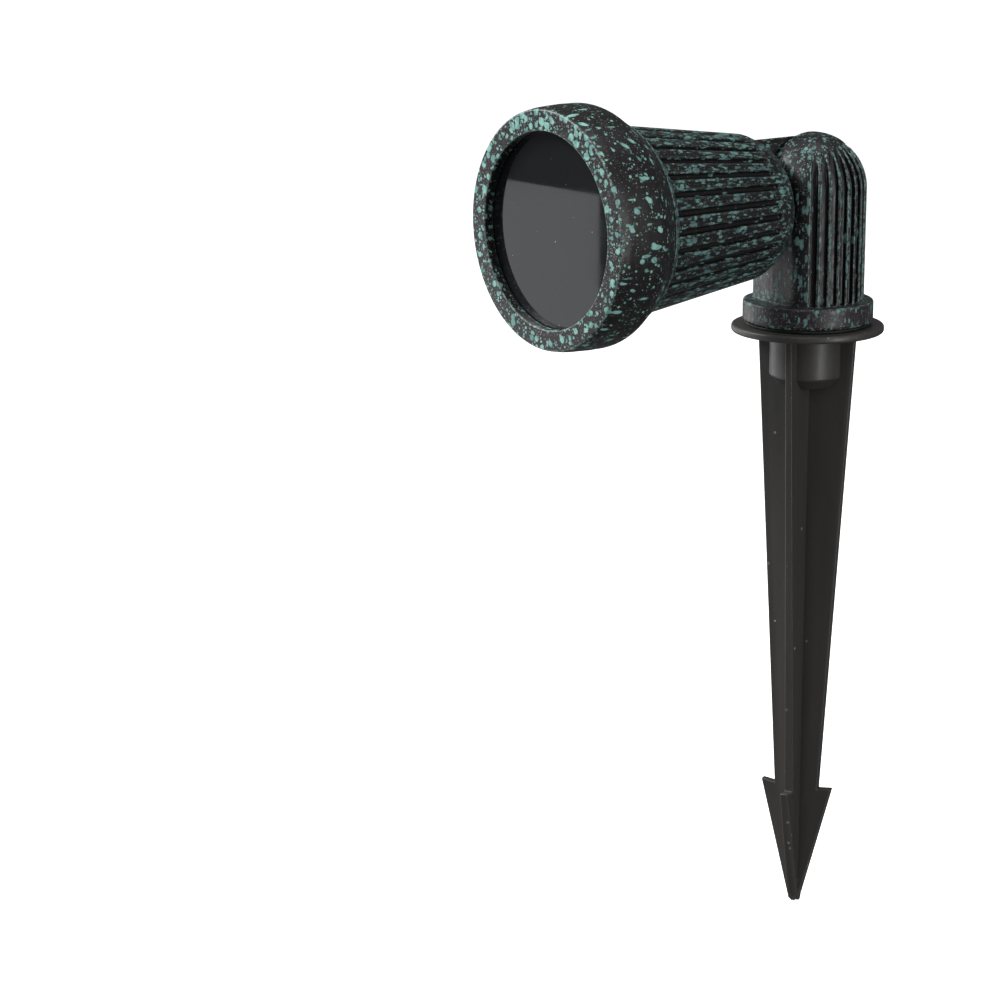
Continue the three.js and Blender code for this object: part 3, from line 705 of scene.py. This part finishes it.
def elbow():
    low, high = box_mm("elbow_base")
    made = sculpted("elbow_base", elbow_distance, low - 1.2, high + 1.2)
    co = points_of(made)
    above = np.maximum(co[:, 2] - PIVOT_Z, 0)
    skin = np.sqrt(co[:, 0] ** 2 + co[:, 1] ** 2 + above**2) - COLUMN_R
    flat = (co[:, 1] < -COLUMN_FLAT + 0.4) | (co[:, 2] < COLLAR_TOP + 0.2) | (co[:, 0] < LAP_X + 0.3)
    mark(made, "land", np.maximum(smooth_step(-0.9, -0.3, skin), flat))
    mark(made, "dense", smooth_step(COLLAR_TOP + 0.6, COLLAR_TOP, co[:, 2]) * (co[:, 2] > COLLAR_LOW + 1))
    mark_wear(made)
    finished(made, "elbow_base", elbow_paint)


# ---- Lamp head -------------------------------------------------------------------------------


def shell_r(t):
    """The cone's radius at a distance t in front of the pivot."""
    slope = (SHELL_FRONT_R - SHELL_ROOT_R) / (SHELL_FRONT - SHELL_ROOT)
    return SHELL_ROOT_R + (t - SHELL_ROOT) * slope


def flare_r(t):
    """The radius of the shoulder's slope."""
    share = (t - SHOULDER_START) / (SHOULDER_FULL - SHOULDER_START)
    return shell_r(SHOULDER_START) + (SHOULDER_R - shell_r(SHOULDER_START)) * share


def lug_distance(x, y, z):
    """Distance to the half of the knuckle on the head, with the neck that joins it to the cone."""
    up = z - PIVOT_Z
    skin = np.sqrt(x**2 + up**2 + np.maximum(y, 0) ** 2) - LUG_R
    body = soft_max(soft_max(skin, x - LAP_X + LAP_GAP, 0.7), -SHELL_RIM + 1 - y, 0.5)
    angle = np.degrees(np.arctan2(up, -x))
    centres = [side * (FIRST_GROOVE + RIB_PITCH * i) for side in (-1, 1) for i in range(LUG_GROOVES)]
    end = np.minimum(LUG_GROOVE_END - y, y + SHELL_REAR - 1)
    grooves = grooves_about(angle, np.hypot(x, up), end, -GROOVE_DEPTH - skin, centres, LUG_ARCH)
    return cut(
        body,
        grooves,
        bar_x(x, y, z, RECESS_R, -2 * LUG_R, RECESS_FLOOR),
        bar_x(x, y, z, SCREW_HOLE_R, -2 * LUG_R, 0),
        bar_x(x, y, z, WIRE_R, LAP_X - 7, 0, at_y=-WIRE_ARC_R),
    )


def thread_depth(t, angle, pitch, low, high):
    """A rounded screw thread's depth below its crest, between two heights."""
    turn = (t / pitch - angle / (2 * math.pi)) % 1.0
    wave = 0.5 - 0.5 * np.cos(2 * math.pi * turn)
    return wave * smooth_step(low, low + 0.8, t) * smooth_step(high, high - 0.8, t)


def shell_outline():
    """The head's half section, from the middle of its rear wall over the outside and back inside."""
    rear_part = [
        (0, SHELL_REAR, 0),
        (SHELL_REAR_R, SHELL_REAR, 1.0),
        (SHELL_RIM_R - 0.8, SHELL_RIM - 2, 0.8),
        (SHELL_RIM_R, SHELL_RIM, 0.5),
        (SHELL_ROOT_R, SHELL_ROOT, 0),
    ]
    ends = np.arange(SHELL_ROOT + 0.2, SHELL_GROOVE_START + 3, 0.35)
    straight = np.linspace(SHELL_GROOVE_START + 4, SHOULDER_START - 0.3, 12)
    cone = [(shell_r(t), t) for t in (*ends, *straight)]
    cone += [(flare_r(t), t) for t in np.arange(SHOULDER_START, SHOULDER_START + 2, 0.2)]
    front_part = [
        (flare_r(SHOULDER_START + 2.1), SHOULDER_START + 2.1, 0),
        (SHOULDER_R, SHOULDER_FULL, 0.15),
        (SHOULDER_R, SHOULDER_END, 0.1),
        (SPIGOT_R, SHOULDER_END, 0.2),
        (SPIGOT_R, SEAL_START, 0.2),
        (SEAL_GROOVE_R, SEAL_START, 0.2),
        (SEAL_GROOVE_R, SEAL_START + SEAL_THICK, 0.2),
        (SPIGOT_R, SEAL_START + SEAL_THICK, 0.2),
        (SPIGOT_R, SPIGOT_END, 0.4),
        (SPIGOT_BORE + 1, SPIGOT_END, 0),
    ]
    hollow = [
        (SPIGOT_BORE + 0.9, SPIGOT_END, 0),
        (SPIGOT_BORE, SPIGOT_END, 0.4),
        (SPIGOT_BORE - 1.5, SHOULDER_END, 0.5),
        (SHELL_FRONT_R - SHELL_WALL, SHELL_FRONT, 0.5),
        (SHELL_ROOT_R - SHELL_WALL, SHELL_ROOT, 0.8),
        (SHELL_REAR_R - SHELL_WALL, SHELL_REAR + 3, 0.8),
        (0, SHELL_REAR + 3, 0),
    ]
    rear = rounded(rear_part, 5, 2.0, closed=False)[:-1]
    outside = rounded(front_part, 3, 0.9, closed=False)
    inside = rounded(hollow, 3, 5.0, closed=False)
    return np.vstack([rear, cone, outside, inside])


def rib_columns(outline):
    """Each point's angle, and its distance from the nearest groove's middle.

    Columns beside a groove keep that distance along the cone, so the groove's flanks stay straight.
    """
    narrowest, on_spigot = 20, 33
    flank = np.array([0, 0.85, 1.02, 1.18, 1.34])
    width = np.where(outline[:, 1] < SHOULDER_END, np.maximum(outline[:, 0], narrowest), on_spigot)
    arc = (np.radians(RIB_PITCH) * width)[:, None]
    near = np.broadcast_to(flank, (len(outline), len(flank)))
    half = np.concatenate([near, (flank[-1] + arc / 2) / 2, arc / 2], axis=1)
    whole = np.concatenate([half, arc - half[:, -2:0:-1]], axis=1)
    angle = np.concatenate([(whole / arc + i) * np.radians(RIB_PITCH) for i in range(RIBS)], axis=1)
    off = np.concatenate([np.minimum(whole, arc - whole)] * RIBS, axis=1)
    return angle, off


def shell():
    """The ribbed cone with its shoulder, threaded spigot and hollow."""
    outline = shell_outline()
    angle, off = rib_columns(outline)
    r, t = outline[:, :1], outline[:, 1:]
    skin = (t > SHELL_ROOT) & (r > shell_r(t) - 0.5)
    on_cone = skin * smooth_step(SHELL_FRONT + 0.6, SHELL_FRONT - 0.1, t)
    behind = np.maximum(SHELL_GROOVE_START + SHELL_GROOVE_HALF - t, 0)
    within = SHELL_GROOVE_HALF - np.hypot(off, behind)
    depth = SHELL_GROOVE_DEPTH * smooth_step(-0.18, 0.3, within) * on_cone
    seal_end = SEAL_START + SEAL_THICK
    on_spigot = (r > SPIGOT_R - 0.01) & (t > seal_end + 0.5)
    thread = SPIGOT_THREAD * thread_depth(t, angle, SPIGOT_PITCH, seal_end + 1, SPIGOT_END - 1)
    radius = np.where(r > 0, r - depth - thread * on_spigot, 0)
    points, faces = ringed(radius, np.broadcast_to(t, radius.shape), angle)
    return mesh_object("head_housing", in_head(points), faces)


def head_housing():
    """The shell joined with the knuckle's lug. Its lands take the paint's drops, its grooves hardly any,
    and its grooves are darkened as painted shade.
    """
    low = np.array([-COLUMN_R - 1, -SHELL_RIM - 1, PIVOT_Z - COLUMN_R - 1])
    high = np.array([0, COLUMN_R + 1, PIVOT_Z + COLUMN_R + 1])
    made = combined(shell(), sculpted("lug", lug_distance, low, high), "UNION")
    made.data.shade_smooth()
    co = points_of(made)
    t = -co[:, 1]
    r = np.hypot(co[:, 0], co[:, 2] - AXIS_Z)
    cone = (t > SHELL_ROOT) & (t < SHOULDER_START + 1) & (r > shell_r(t) - 3)
    land = np.where(cone, smooth_step(-1.2, -0.4, r - shell_r(t)), 1.0)
    x, up = co[:, 0], co[:, 2] - PIVOT_Z
    skin = np.sqrt(x**2 + up**2 + np.maximum(co[:, 1], 0) ** 2) - LUG_R
    lug = (t < SHELL_REAR) & (x < LAP_X - LAP_GAP - 0.2)
    land = np.where(lug, smooth_step(-0.9, -0.3, skin), land)
    mark(made, "land", land)
    mark(made, "dense", smooth_step(SHOULDER_START, SHOULDER_START + 0.8, t) * (t < SHOULDER_END + 0.1))
    mark_wear(made, scale=np.where(cone | (t < SHOULDER_START + 2), 0.3, 1.0))
    finished(made, "head_housing", housing_paint)


def bezel_ring():
    points, faces = turned([
        (BEZEL_BORE, BEZEL_REAR, 0.4),
        (BEZEL_REAR_R, BEZEL_REAR, 0.3),
        (BEZEL_R, BEZEL_FLANK_END, 2.5),
        (BEZEL_R, (BEZEL_FLANK_END + BEZEL_STEP) / 2, 0),
        (BEZEL_STEP_R, BEZEL_STEP, 0.9),
        (BEZEL_FRONT_R, BEZEL_FRONT, 0.7),
        (BEZEL_OPENING, BEZEL_FRONT, 0.5),
        (BEZEL_OPENING, BEZEL_FRONT - BEZEL_LIP, 0.3),
        (BEZEL_BORE, BEZEL_FRONT - BEZEL_LIP, 0.2),
    ], sides=256, arc_steps=6, longest=1.5)
    made = mesh_object("bezel_ring", in_head(points), faces)
    co = points_of(made)
    mark(made, "land", np.ones(len(co)))
    mark(made, "dense", smooth_step(BEZEL_FRONT - 1.4, BEZEL_FRONT - 0.3, -co[:, 1]))
    mark_wear(made, blunt=0.7, sharp=1.6)
    finished(made, "bezel_ring", bezel_paint)


def lens_glass():
    points, faces = turned([
        (0, GLASS_REAR, 0),
        (GLASS_R, GLASS_REAR, 0.4),
        (GLASS_R, GLASS_FRONT, 0.4),
        (0, GLASS_FRONT, 0),
    ])
    made = mesh_object("lens_glass", in_head(points), faces)
    finished(made, "lens_glass", smoky_glass("lens_glass_smoky"))


# ---- Small turned pieces ---------------------------------------------------------------------


def block(name, low, high):
    """A plain box, used as a cutter or as a blank."""
    corners = [(x, y, z) for x in (low[0], high[0]) for y in (low[1], high[1]) for z in (low[2], high[2])]
    faces = [(0, 1, 3, 2), (4, 6, 7, 5), (0, 4, 5, 1), (2, 3, 7, 6), (0, 2, 6, 4), (1, 5, 7, 3)]
    return mesh_object(name, corners, faces)


def tube(r_in, r_out, low, high, soft):
    """The corners of a ring's section."""
    return [(r_in, low, soft), (r_out, low, soft), (r_out, high, soft), (r_in, high, soft)]


def rod(r, low, high, soft):
    """The corners of a solid bar's half section."""
    return [(0, low, 0), (r, low, soft), (r, high, soft), (0, high, 0)]


def threaded(corners, r, low, high, pitch, deep, sides=64):
    """Points and faces of a turned solid whose face at radius r has a thread between two heights."""
    radius, height, angle = spun(rounded(corners, 4, pitch / 6), sides)
    depth = deep * thread_depth(height, angle, pitch, low, high) * (np.abs(radius - r) < 0.01)
    return ringed(radius - depth, height, angle)


def head_span(node):
    """A head piece's outer radius and its two ends along the lamp's axis."""
    low, high = box_mm(node)
    return (high[0] - low[0]) / 2, -high[1], -low[1]


def head_round(node, corners, sides=96, aside=0, cuts=()):
    """A turned piece, aside from the lamp's axis or on it, and cut by some tools."""
    points, faces = turned(corners, sides, longest=2.0)
    made = mesh_object(node, in_head(points + np.array([aside, 0, 0])), faces)
    for tool in cuts:
        made = combined(made, tool, "DIFFERENCE")
    made.data.shade_smooth()
    return finished(made, node)


def pin_holes(r, low, high):
    """Two bars at the spacing of the lamp's pins, to cut their holes."""
    tools = []
    for side in (-1, 1):
        points, faces = turned(rod(r, low, high, 0), 32)
        tools.append(mesh_object("hole", in_head(points + np.array([side * PIN_SPREAD, 0, 0])), faces))
    return tools


def bowl(share, inset):
    """The reflector's section at a share of the way from its neck to its rim."""
    r, neck, rim = head_span("lamp_reflector")
    bowl_r = BOWL_NECK_R + (r - 1 - BOWL_NECK_R) * math.sqrt(share)
    return (bowl_r - inset, neck + (rim - neck) * share, 0)


def reflector():
    """The lamp's bowl, with 36 flat facets around it."""
    r, neck, rim = head_span("lamp_reflector")
    outside = [bowl(0.92 * i / 10, 0) for i in range(11)]
    inside = [bowl(0.06 + 0.94 * i / 10, BOWL_WALL) for i in range(10, -1, -1)]
    edge = [(r, rim - 1.6, 0.3), (r, rim, 0.3)]
    corners = [(BOWL_HOLE_R, neck, 0), *outside, *edge, *inside, (BOWL_HOLE_R, neck + 1.3, 0)]
    head_round("lamp_reflector", corners, sides=36).data.shade_flat()


def lamp_pieces():
    r, low, high = head_span("lamp_cover_glass")
    head_round("lamp_cover_glass", rod(r, low, high, 0.3))
    r, low, high = head_span("lamp_burner")
    tip = [(r, high - 5.4, 2), (1.2, high - 1, 1.2), (0, high, 0)]
    head_round("lamp_burner", [(0, low, 0), (r, low, 0.5), *tip])
    r, low, high = head_span("lamp_base")
    floor_at = high - BASE_WELL_DEPTH
    well = [(BASE_WELL_R, high, 0.3), (BASE_WELL_R, floor_at, 0.4), (0, floor_at, 0)]
    corners = [(0, low, 0), (BASE_R, low, 0.6), (BASE_R, high - 4, 0.8), (r, high, 0.4), *well]
    head_round("lamp_base", corners, cuts=pin_holes(1.05, low - 1, low + 5))
    for i, side in enumerate((-1, 1), 1):
        r, low, high = head_span(f"lamp_pin_{i}")
        head_round(f"lamp_pin_{i}", rod(r, low, high, 0.35), 32, aside=side * PIN_SPREAD)
    r, low, high = head_span("lamp_holder")
    corners = [(0, low, 0), (r, low, 0.8), (r, high - 1, 0.5), (r - 1, high, 0.4), (0, high, 0)]
    head_round("lamp_holder", corners, cuts=pin_holes(1.1, high - 8, high + 1))


def seals_and_screws():
    for node, r_in in (("housing_seal", SEAL_BORE), ("lens_gasket", SPIGOT_BORE)):
        r, low, high = head_span(node)
        head_round(node, tube(r_in, r, low, high, 0.45), sides=160)
    for i, side in enumerate((-1, 1), 1):
        node = f"bracket_screw_{i}"
        r, low, high = head_span(node)
        at = side * SMALL_SCREW_SPAN
        slot_low = (at - 5, -high - 1, AXIS_Z - SLOT_HALF)
        slot_high = (at + 5, -high + SLOT_DEPTH, AXIS_Z + SLOT_HALF)
        under = high - SMALL_SCREW_HEAD
        shank = [(0, low, 0), (SMALL_SCREW_R, low, 0.3), (SMALL_SCREW_R, under, 0.1)]
        head = [(r, under, 0.2), (r, high, 0.7), (0, high, 0)]
        head_round(node, shank + head, 48, at, [block("slot", slot_low, slot_high)])


def clamp_screw():
    """The knuckle's screw, with its thread and the cross recess in its head."""
    low, high = box_mm("pivot_screw")
    long = high[0] - low[0]
    under = long - SCREW_HEAD_HIGH
    corners = [
        (0, 0, 0),
        (SCREW_R - 0.5, 0, 0.2),
        (SCREW_R, 0.6, 0.2),
        (SCREW_R, under, 0.1),
        (high[1], under, 0.3),
        (high[1], under + SCREW_HEAD_HIGH * 0.45, 0.6),
        (high[1] * 0.68, long, 1.0),
        (0, long, 0),
    ]
    points, faces = threaded(corners, SCREW_R, 1.0, SCREW_THREAD_END, SCREW_PITCH, SCREW_THREAD)
    screw = mesh_object("pivot_screw", along_x(points, high[0]), faces)
    for y, z in ((CROSS_THICK, CROSS_LONG), (CROSS_LONG, CROSS_THICK)):
        tool = block("cross", (low[0] - 1, -y, PIVOT_Z - z), (low[0] + CROSS_DEPTH, y, PIVOT_Z + z))
        screw = combined(screw, tool, "DIFFERENCE")
    finished(flat_shaded_well(screw, 40), "pivot_screw")


def knuckle_rings():
    """The split washer, the friction ring and the square nut on the clamp screw."""
    low, high = box_mm("spring_washer")
    points, faces = turned(tube(WASHER_BORE, high[1], 0, high[0] - low[0], 0.12), 96)
    washer = mesh_object("spring_washer", along_x(points, high[0]), faces)
    split = block("split", (low[0] - 1, 0, PIVOT_Z - 0.4), (high[0] + 1, 10, PIVOT_Z + 0.4))
    finished(flat_shaded_well(combined(washer, split, "DIFFERENCE")), "spring_washer")

    low, high = box_mm("friction_ring")
    points, faces = turned(tube(RING_BORE, high[1], 0, high[0] - low[0], 0.2), 128)
    finished(mesh_object("friction_ring", along_x(points, high[0]), faces), "friction_ring")

    low, high = box_mm("pivot_nut")
    nut = evaluated(bevelled(block("pivot_nut", low, high), 0.5))
    points, faces = turned(rod(SCREW_HOLE_R, -1, high[0] - low[0] + 1, 0), 48)
    hole = mesh_object("hole", along_x(points, high[0]), faces)
    finished(flat_shaded_well(combined(nut, hole, "DIFFERENCE")), "pivot_nut")


def collar_pieces():
    """The seal under the elbow's collar, the stem that screws into the stake, and the cord's bush."""
    low, high = box_mm("collar_gasket")
    points, faces = turned(tube(GASKET_BORE, high[0], low[2], high[2], 0.25))
    finished(mesh_object("collar_gasket", points, faces), "collar_gasket")
    low, high = box_mm("threaded_stem")
    section = tube(STEM_BORE, high[0], low[2], high[2], 0.4)
    thread = (low[2] + 0.6, high[2] - 0.6, STEM_PITCH, STEM_THREAD)
    points, faces = threaded(section, high[0], *thread, sides=96)
    finished(mesh_object("threaded_stem", points, faces), "threaded_stem")
    low, high = box_mm("cord_grommet")
    points, faces = turned(tube(high[0] - 1, high[0], low[1], high[1], 0.3), 64)
    finished(mesh_object("cord_grommet", in_cord_hole(points), faces), "cord_grommet")


# ---- Ground stake ----------------------------------------------------------------------------


def fin(turn):
    """One fin and its barb: a wedge of even taper, with softened edges."""
    outline = [
        (0, 1),
        (FIN_TOP, 1),
        (FIN_TOP, 0),
        (FIN_LOW, BARB_Z),
        (BARB_HALF, BARB_Z + BARB_HOOK),
        (2.1, STAKE_TIP + 2.2),
        (1.5, STAKE_TIP + 0.9),
        (0.7, STAKE_TIP + 0.2),
        (0, STAKE_TIP),
    ]
    thin = (FIN_ROOT_HALF - FIN_EDGE_HALF) / (FIN_TOP + 1)
    points = []
    for side in (-1, 1):
        points += [(x, side * (FIN_ROOT_HALF - thin * x), z) for x, z in outline]
    count = len(outline)
    faces = [tuple(range(count)), tuple(range(2 * count - 1, count - 1, -1))]
    faces += [(i, (i + 1) % count, (i + 1) % count + count, i + count) for i in range(count)]
    made = evaluated(bevelled(mesh_object("fin", points, faces), 0.4))
    made.data.transform(Matrix.Rotation(math.radians(turn), 4, "Z"))
    return made


def ground_stake():
    """The flange and boss with four crossed fins, a socket for the stem and a side hole for the cord."""
    points, faces = turned([
        (0, -BOSS_DEPTH, 0),
        (BOSS_R - BOSS_CHAMFER, -BOSS_DEPTH, 0.6),
        (BOSS_R, -BOSS_DEPTH + BOSS_CHAMFER, 0.6),
        (BOSS_R, 0, 0.5),
        (FLANGE_R, 0, 1.2),
        (FLANGE_R, FLANGE_TOP, 1.2),
        (SOCKET_R, FLANGE_TOP, 0.4),
        (SOCKET_R, -SOCKET_DEPTH, 0.5),
        (0, -SOCKET_DEPTH, 0),
    ], arc_steps=8)
    made = mesh_object("ground_stake", points, faces)
    for i in range(4):
        made = combined(made, fin(FIN_TURN + 90 * i), "UNION")
    above = 4  # clear of the flange
    core = [(0, -SOCKET_DEPTH, 0), (SOCKET_R, -SOCKET_DEPTH, 0.5), (SOCKET_R, above, 0), (0, above, 0)]
    points, faces = turned(core)
    made = combined(made, mesh_object("core", points, faces), "DIFFERENCE")
    points, faces = turned(rod(CORD_HOLE_R, 5, BOSS_R + 1, 0), 64)
    made = combined(made, mesh_object("hole", in_cord_hole(points), faces), "DIFFERENCE")
    mark_wear(made)
    flat_shaded_well(made)
    finished(made, "ground_stake")


# ---- Build -----------------------------------------------------------------------------------


def holder_bracket():
    """The one piece that keeps its CAD mesh, with plated steel and softened edges."""
    bracket = frame["nodes"]["holder_bracket"]
    bracket.data.materials.clear()
    bracket.data.materials.append(FINISHES["plated_steel"])
    bevelled(bracket, 0.25)


elbow()
head_housing()
bezel_ring()
lens_glass()
ground_stake()
reflector()
lamp_pieces()
seals_and_screws()
clamp_screw()
knuckle_rings()
collar_pieces()
holder_bracket()

# ---- Stage, in metres ------------------------------------------------------------------------

CAMERA_AT = Vector((0.67102, -0.64406, 0.17835))
CAMERA_AZIMUTH, CAMERA_ELEVATION, CAMERA_ROLL = 53.261, 14.728, -0.493
CAMERA_LENS = 90.84  # on a 36 mm sensor


def camera():
    """The photograph's viewpoint."""
    a, e, roll = (math.radians(v) for v in (CAMERA_AZIMUTH, CAMERA_ELEVATION, CAMERA_ROLL))
    back = Vector((math.sin(a) * math.cos(e), -math.cos(a) * math.cos(e), math.sin(e)))
    level = Vector((math.cos(a), math.sin(a), 0))
    rise = back.cross(level)
    right = level * math.cos(roll) + rise * math.sin(roll)
    up = rise * math.cos(roll) - level * math.sin(roll)
    data = bpy.data.cameras.new("camera")
    data.lens = CAMERA_LENS
    data.sensor_width = 36
    made = in_scene("camera", data)
    made.matrix_world = Matrix.Translation(CAMERA_AT) @ Matrix((right, up, back)).transposed().to_4x4()
    bpy.context.scene.camera = made


def soft_light(name, at, towards, size, watts):
    data = bpy.data.lights.new(name, "AREA")
    data.shape = "RECTANGLE"
    data.size, data.size_y = size
    data.energy = watts
    made = in_scene(name, data)
    made.location = at
    made.rotation_euler = (Vector(towards) - Vector(at)).to_track_quat("-Z", "Y").to_euler()


def panel(name, corners, material):
    """A flat panel of the stage, which isn't part of the object."""
    mesh = bpy.data.meshes.new(name)
    mesh.from_pydata(corners, [], [(0, 1, 2, 3)])
    mesh.materials.append(material)
    made = in_scene(name, mesh)
    return made


def floor():
    """A pale floor that glows a little, so that it stays even behind the object."""
    g = Graph("pale_floor")
    pale = g.mix(g.noise(g.place(), 300.0, 1.0), (0.9, 0.9, 0.9, 1), (0.92, 0.92, 0.92, 1))
    material = g.done(Base_Color=pale, Roughness=0.9, Emission_Strength=0.95)
    reach, z = 12.0, FLOOR_Z * MM
    corners = [(-reach, -reach, z), (reach, -reach, z), (reach, reach, z), (-reach, reach, z)]
    made = panel("floor", corners, material)
    made.visible_glossy = False
    made.visible_diffuse = False


def card(name, corners, strength):
    """A white card beside the object, which lights it and shows in its glass but isn't seen itself."""
    black, white = (0, 0, 0, 1), (0.97, 0.98, 1, 1)
    material = Graph(name).done(Base_Color=black, Emission_Color=white, Emission_Strength=strength)
    made = panel(name, corners, material)
    made.visible_camera = False
    made.visible_shadow = False


def cards():
    """Two cards at a right angle: an upright one that faces the object, and one level with its top."""
    near, far, left, right, top = -0.131, -0.30, -0.246, -0.06, 0.036
    low = FLOOR_Z * MM
    edge = [(near, right, top), (near, left, top)]
    card("face_card", [(near, left, low), (near, right, low), *edge], 1.3)
    card("top_card", [*reversed(edge), (far, right, top), (far, left, top)], 0.7)


def world():
    """A faint even sky, and a white backdrop for what the camera sees directly."""
    made = bpy.data.worlds.new("studio")
    bpy.context.scene.world = made
    made.use_nodes = True
    nodes, links = made.node_tree.nodes, made.node_tree.links
    seen = nodes.new("ShaderNodeLightPath")
    lit = nodes["Background"]
    lit.inputs["Color"].default_value = (0.95, 0.97, 1, 1)
    lit.inputs["Strength"].default_value = 0.12
    backdrop = nodes.new("ShaderNodeBackground")
    backdrop.inputs["Color"].default_value = (1, 1, 1, 1)
    both = nodes.new("ShaderNodeMixShader")
    links.new(seen.outputs["Is Camera Ray"], both.inputs[0])
    links.new(lit.outputs[0], both.inputs[1])
    links.new(backdrop.outputs[0], both.inputs[2])
    links.new(both.outputs[0], nodes["World Output"].inputs["Surface"])


camera()
floor()
cards()
world()
middle = (0, -0.03, 0.0)
soft_light("left", (-0.9, -0.9, 0.95), middle, (0.6, 0.6), 27)
soft_light("low_left", (-1.45, -0.2, 0.05), middle, (0.5, 0.9), 5)
soft_light("front", (0.25, -1.15, 0.85), middle, (0.6, 0.6), 6)
soft_light("side", (1.3, 0.2, 0.5), middle, (0.5, 0.9), 5)
soft_light("low_right", (1.3, 0.0, -0.2), (0, 0, -0.15), (0.4, 0.4), 8)
soft_light("top", (0.1, 0.1, 1.3), middle, (0.8, 0.8), 4)
bpy.context.scene.view_settings.view_transform = "Standard"
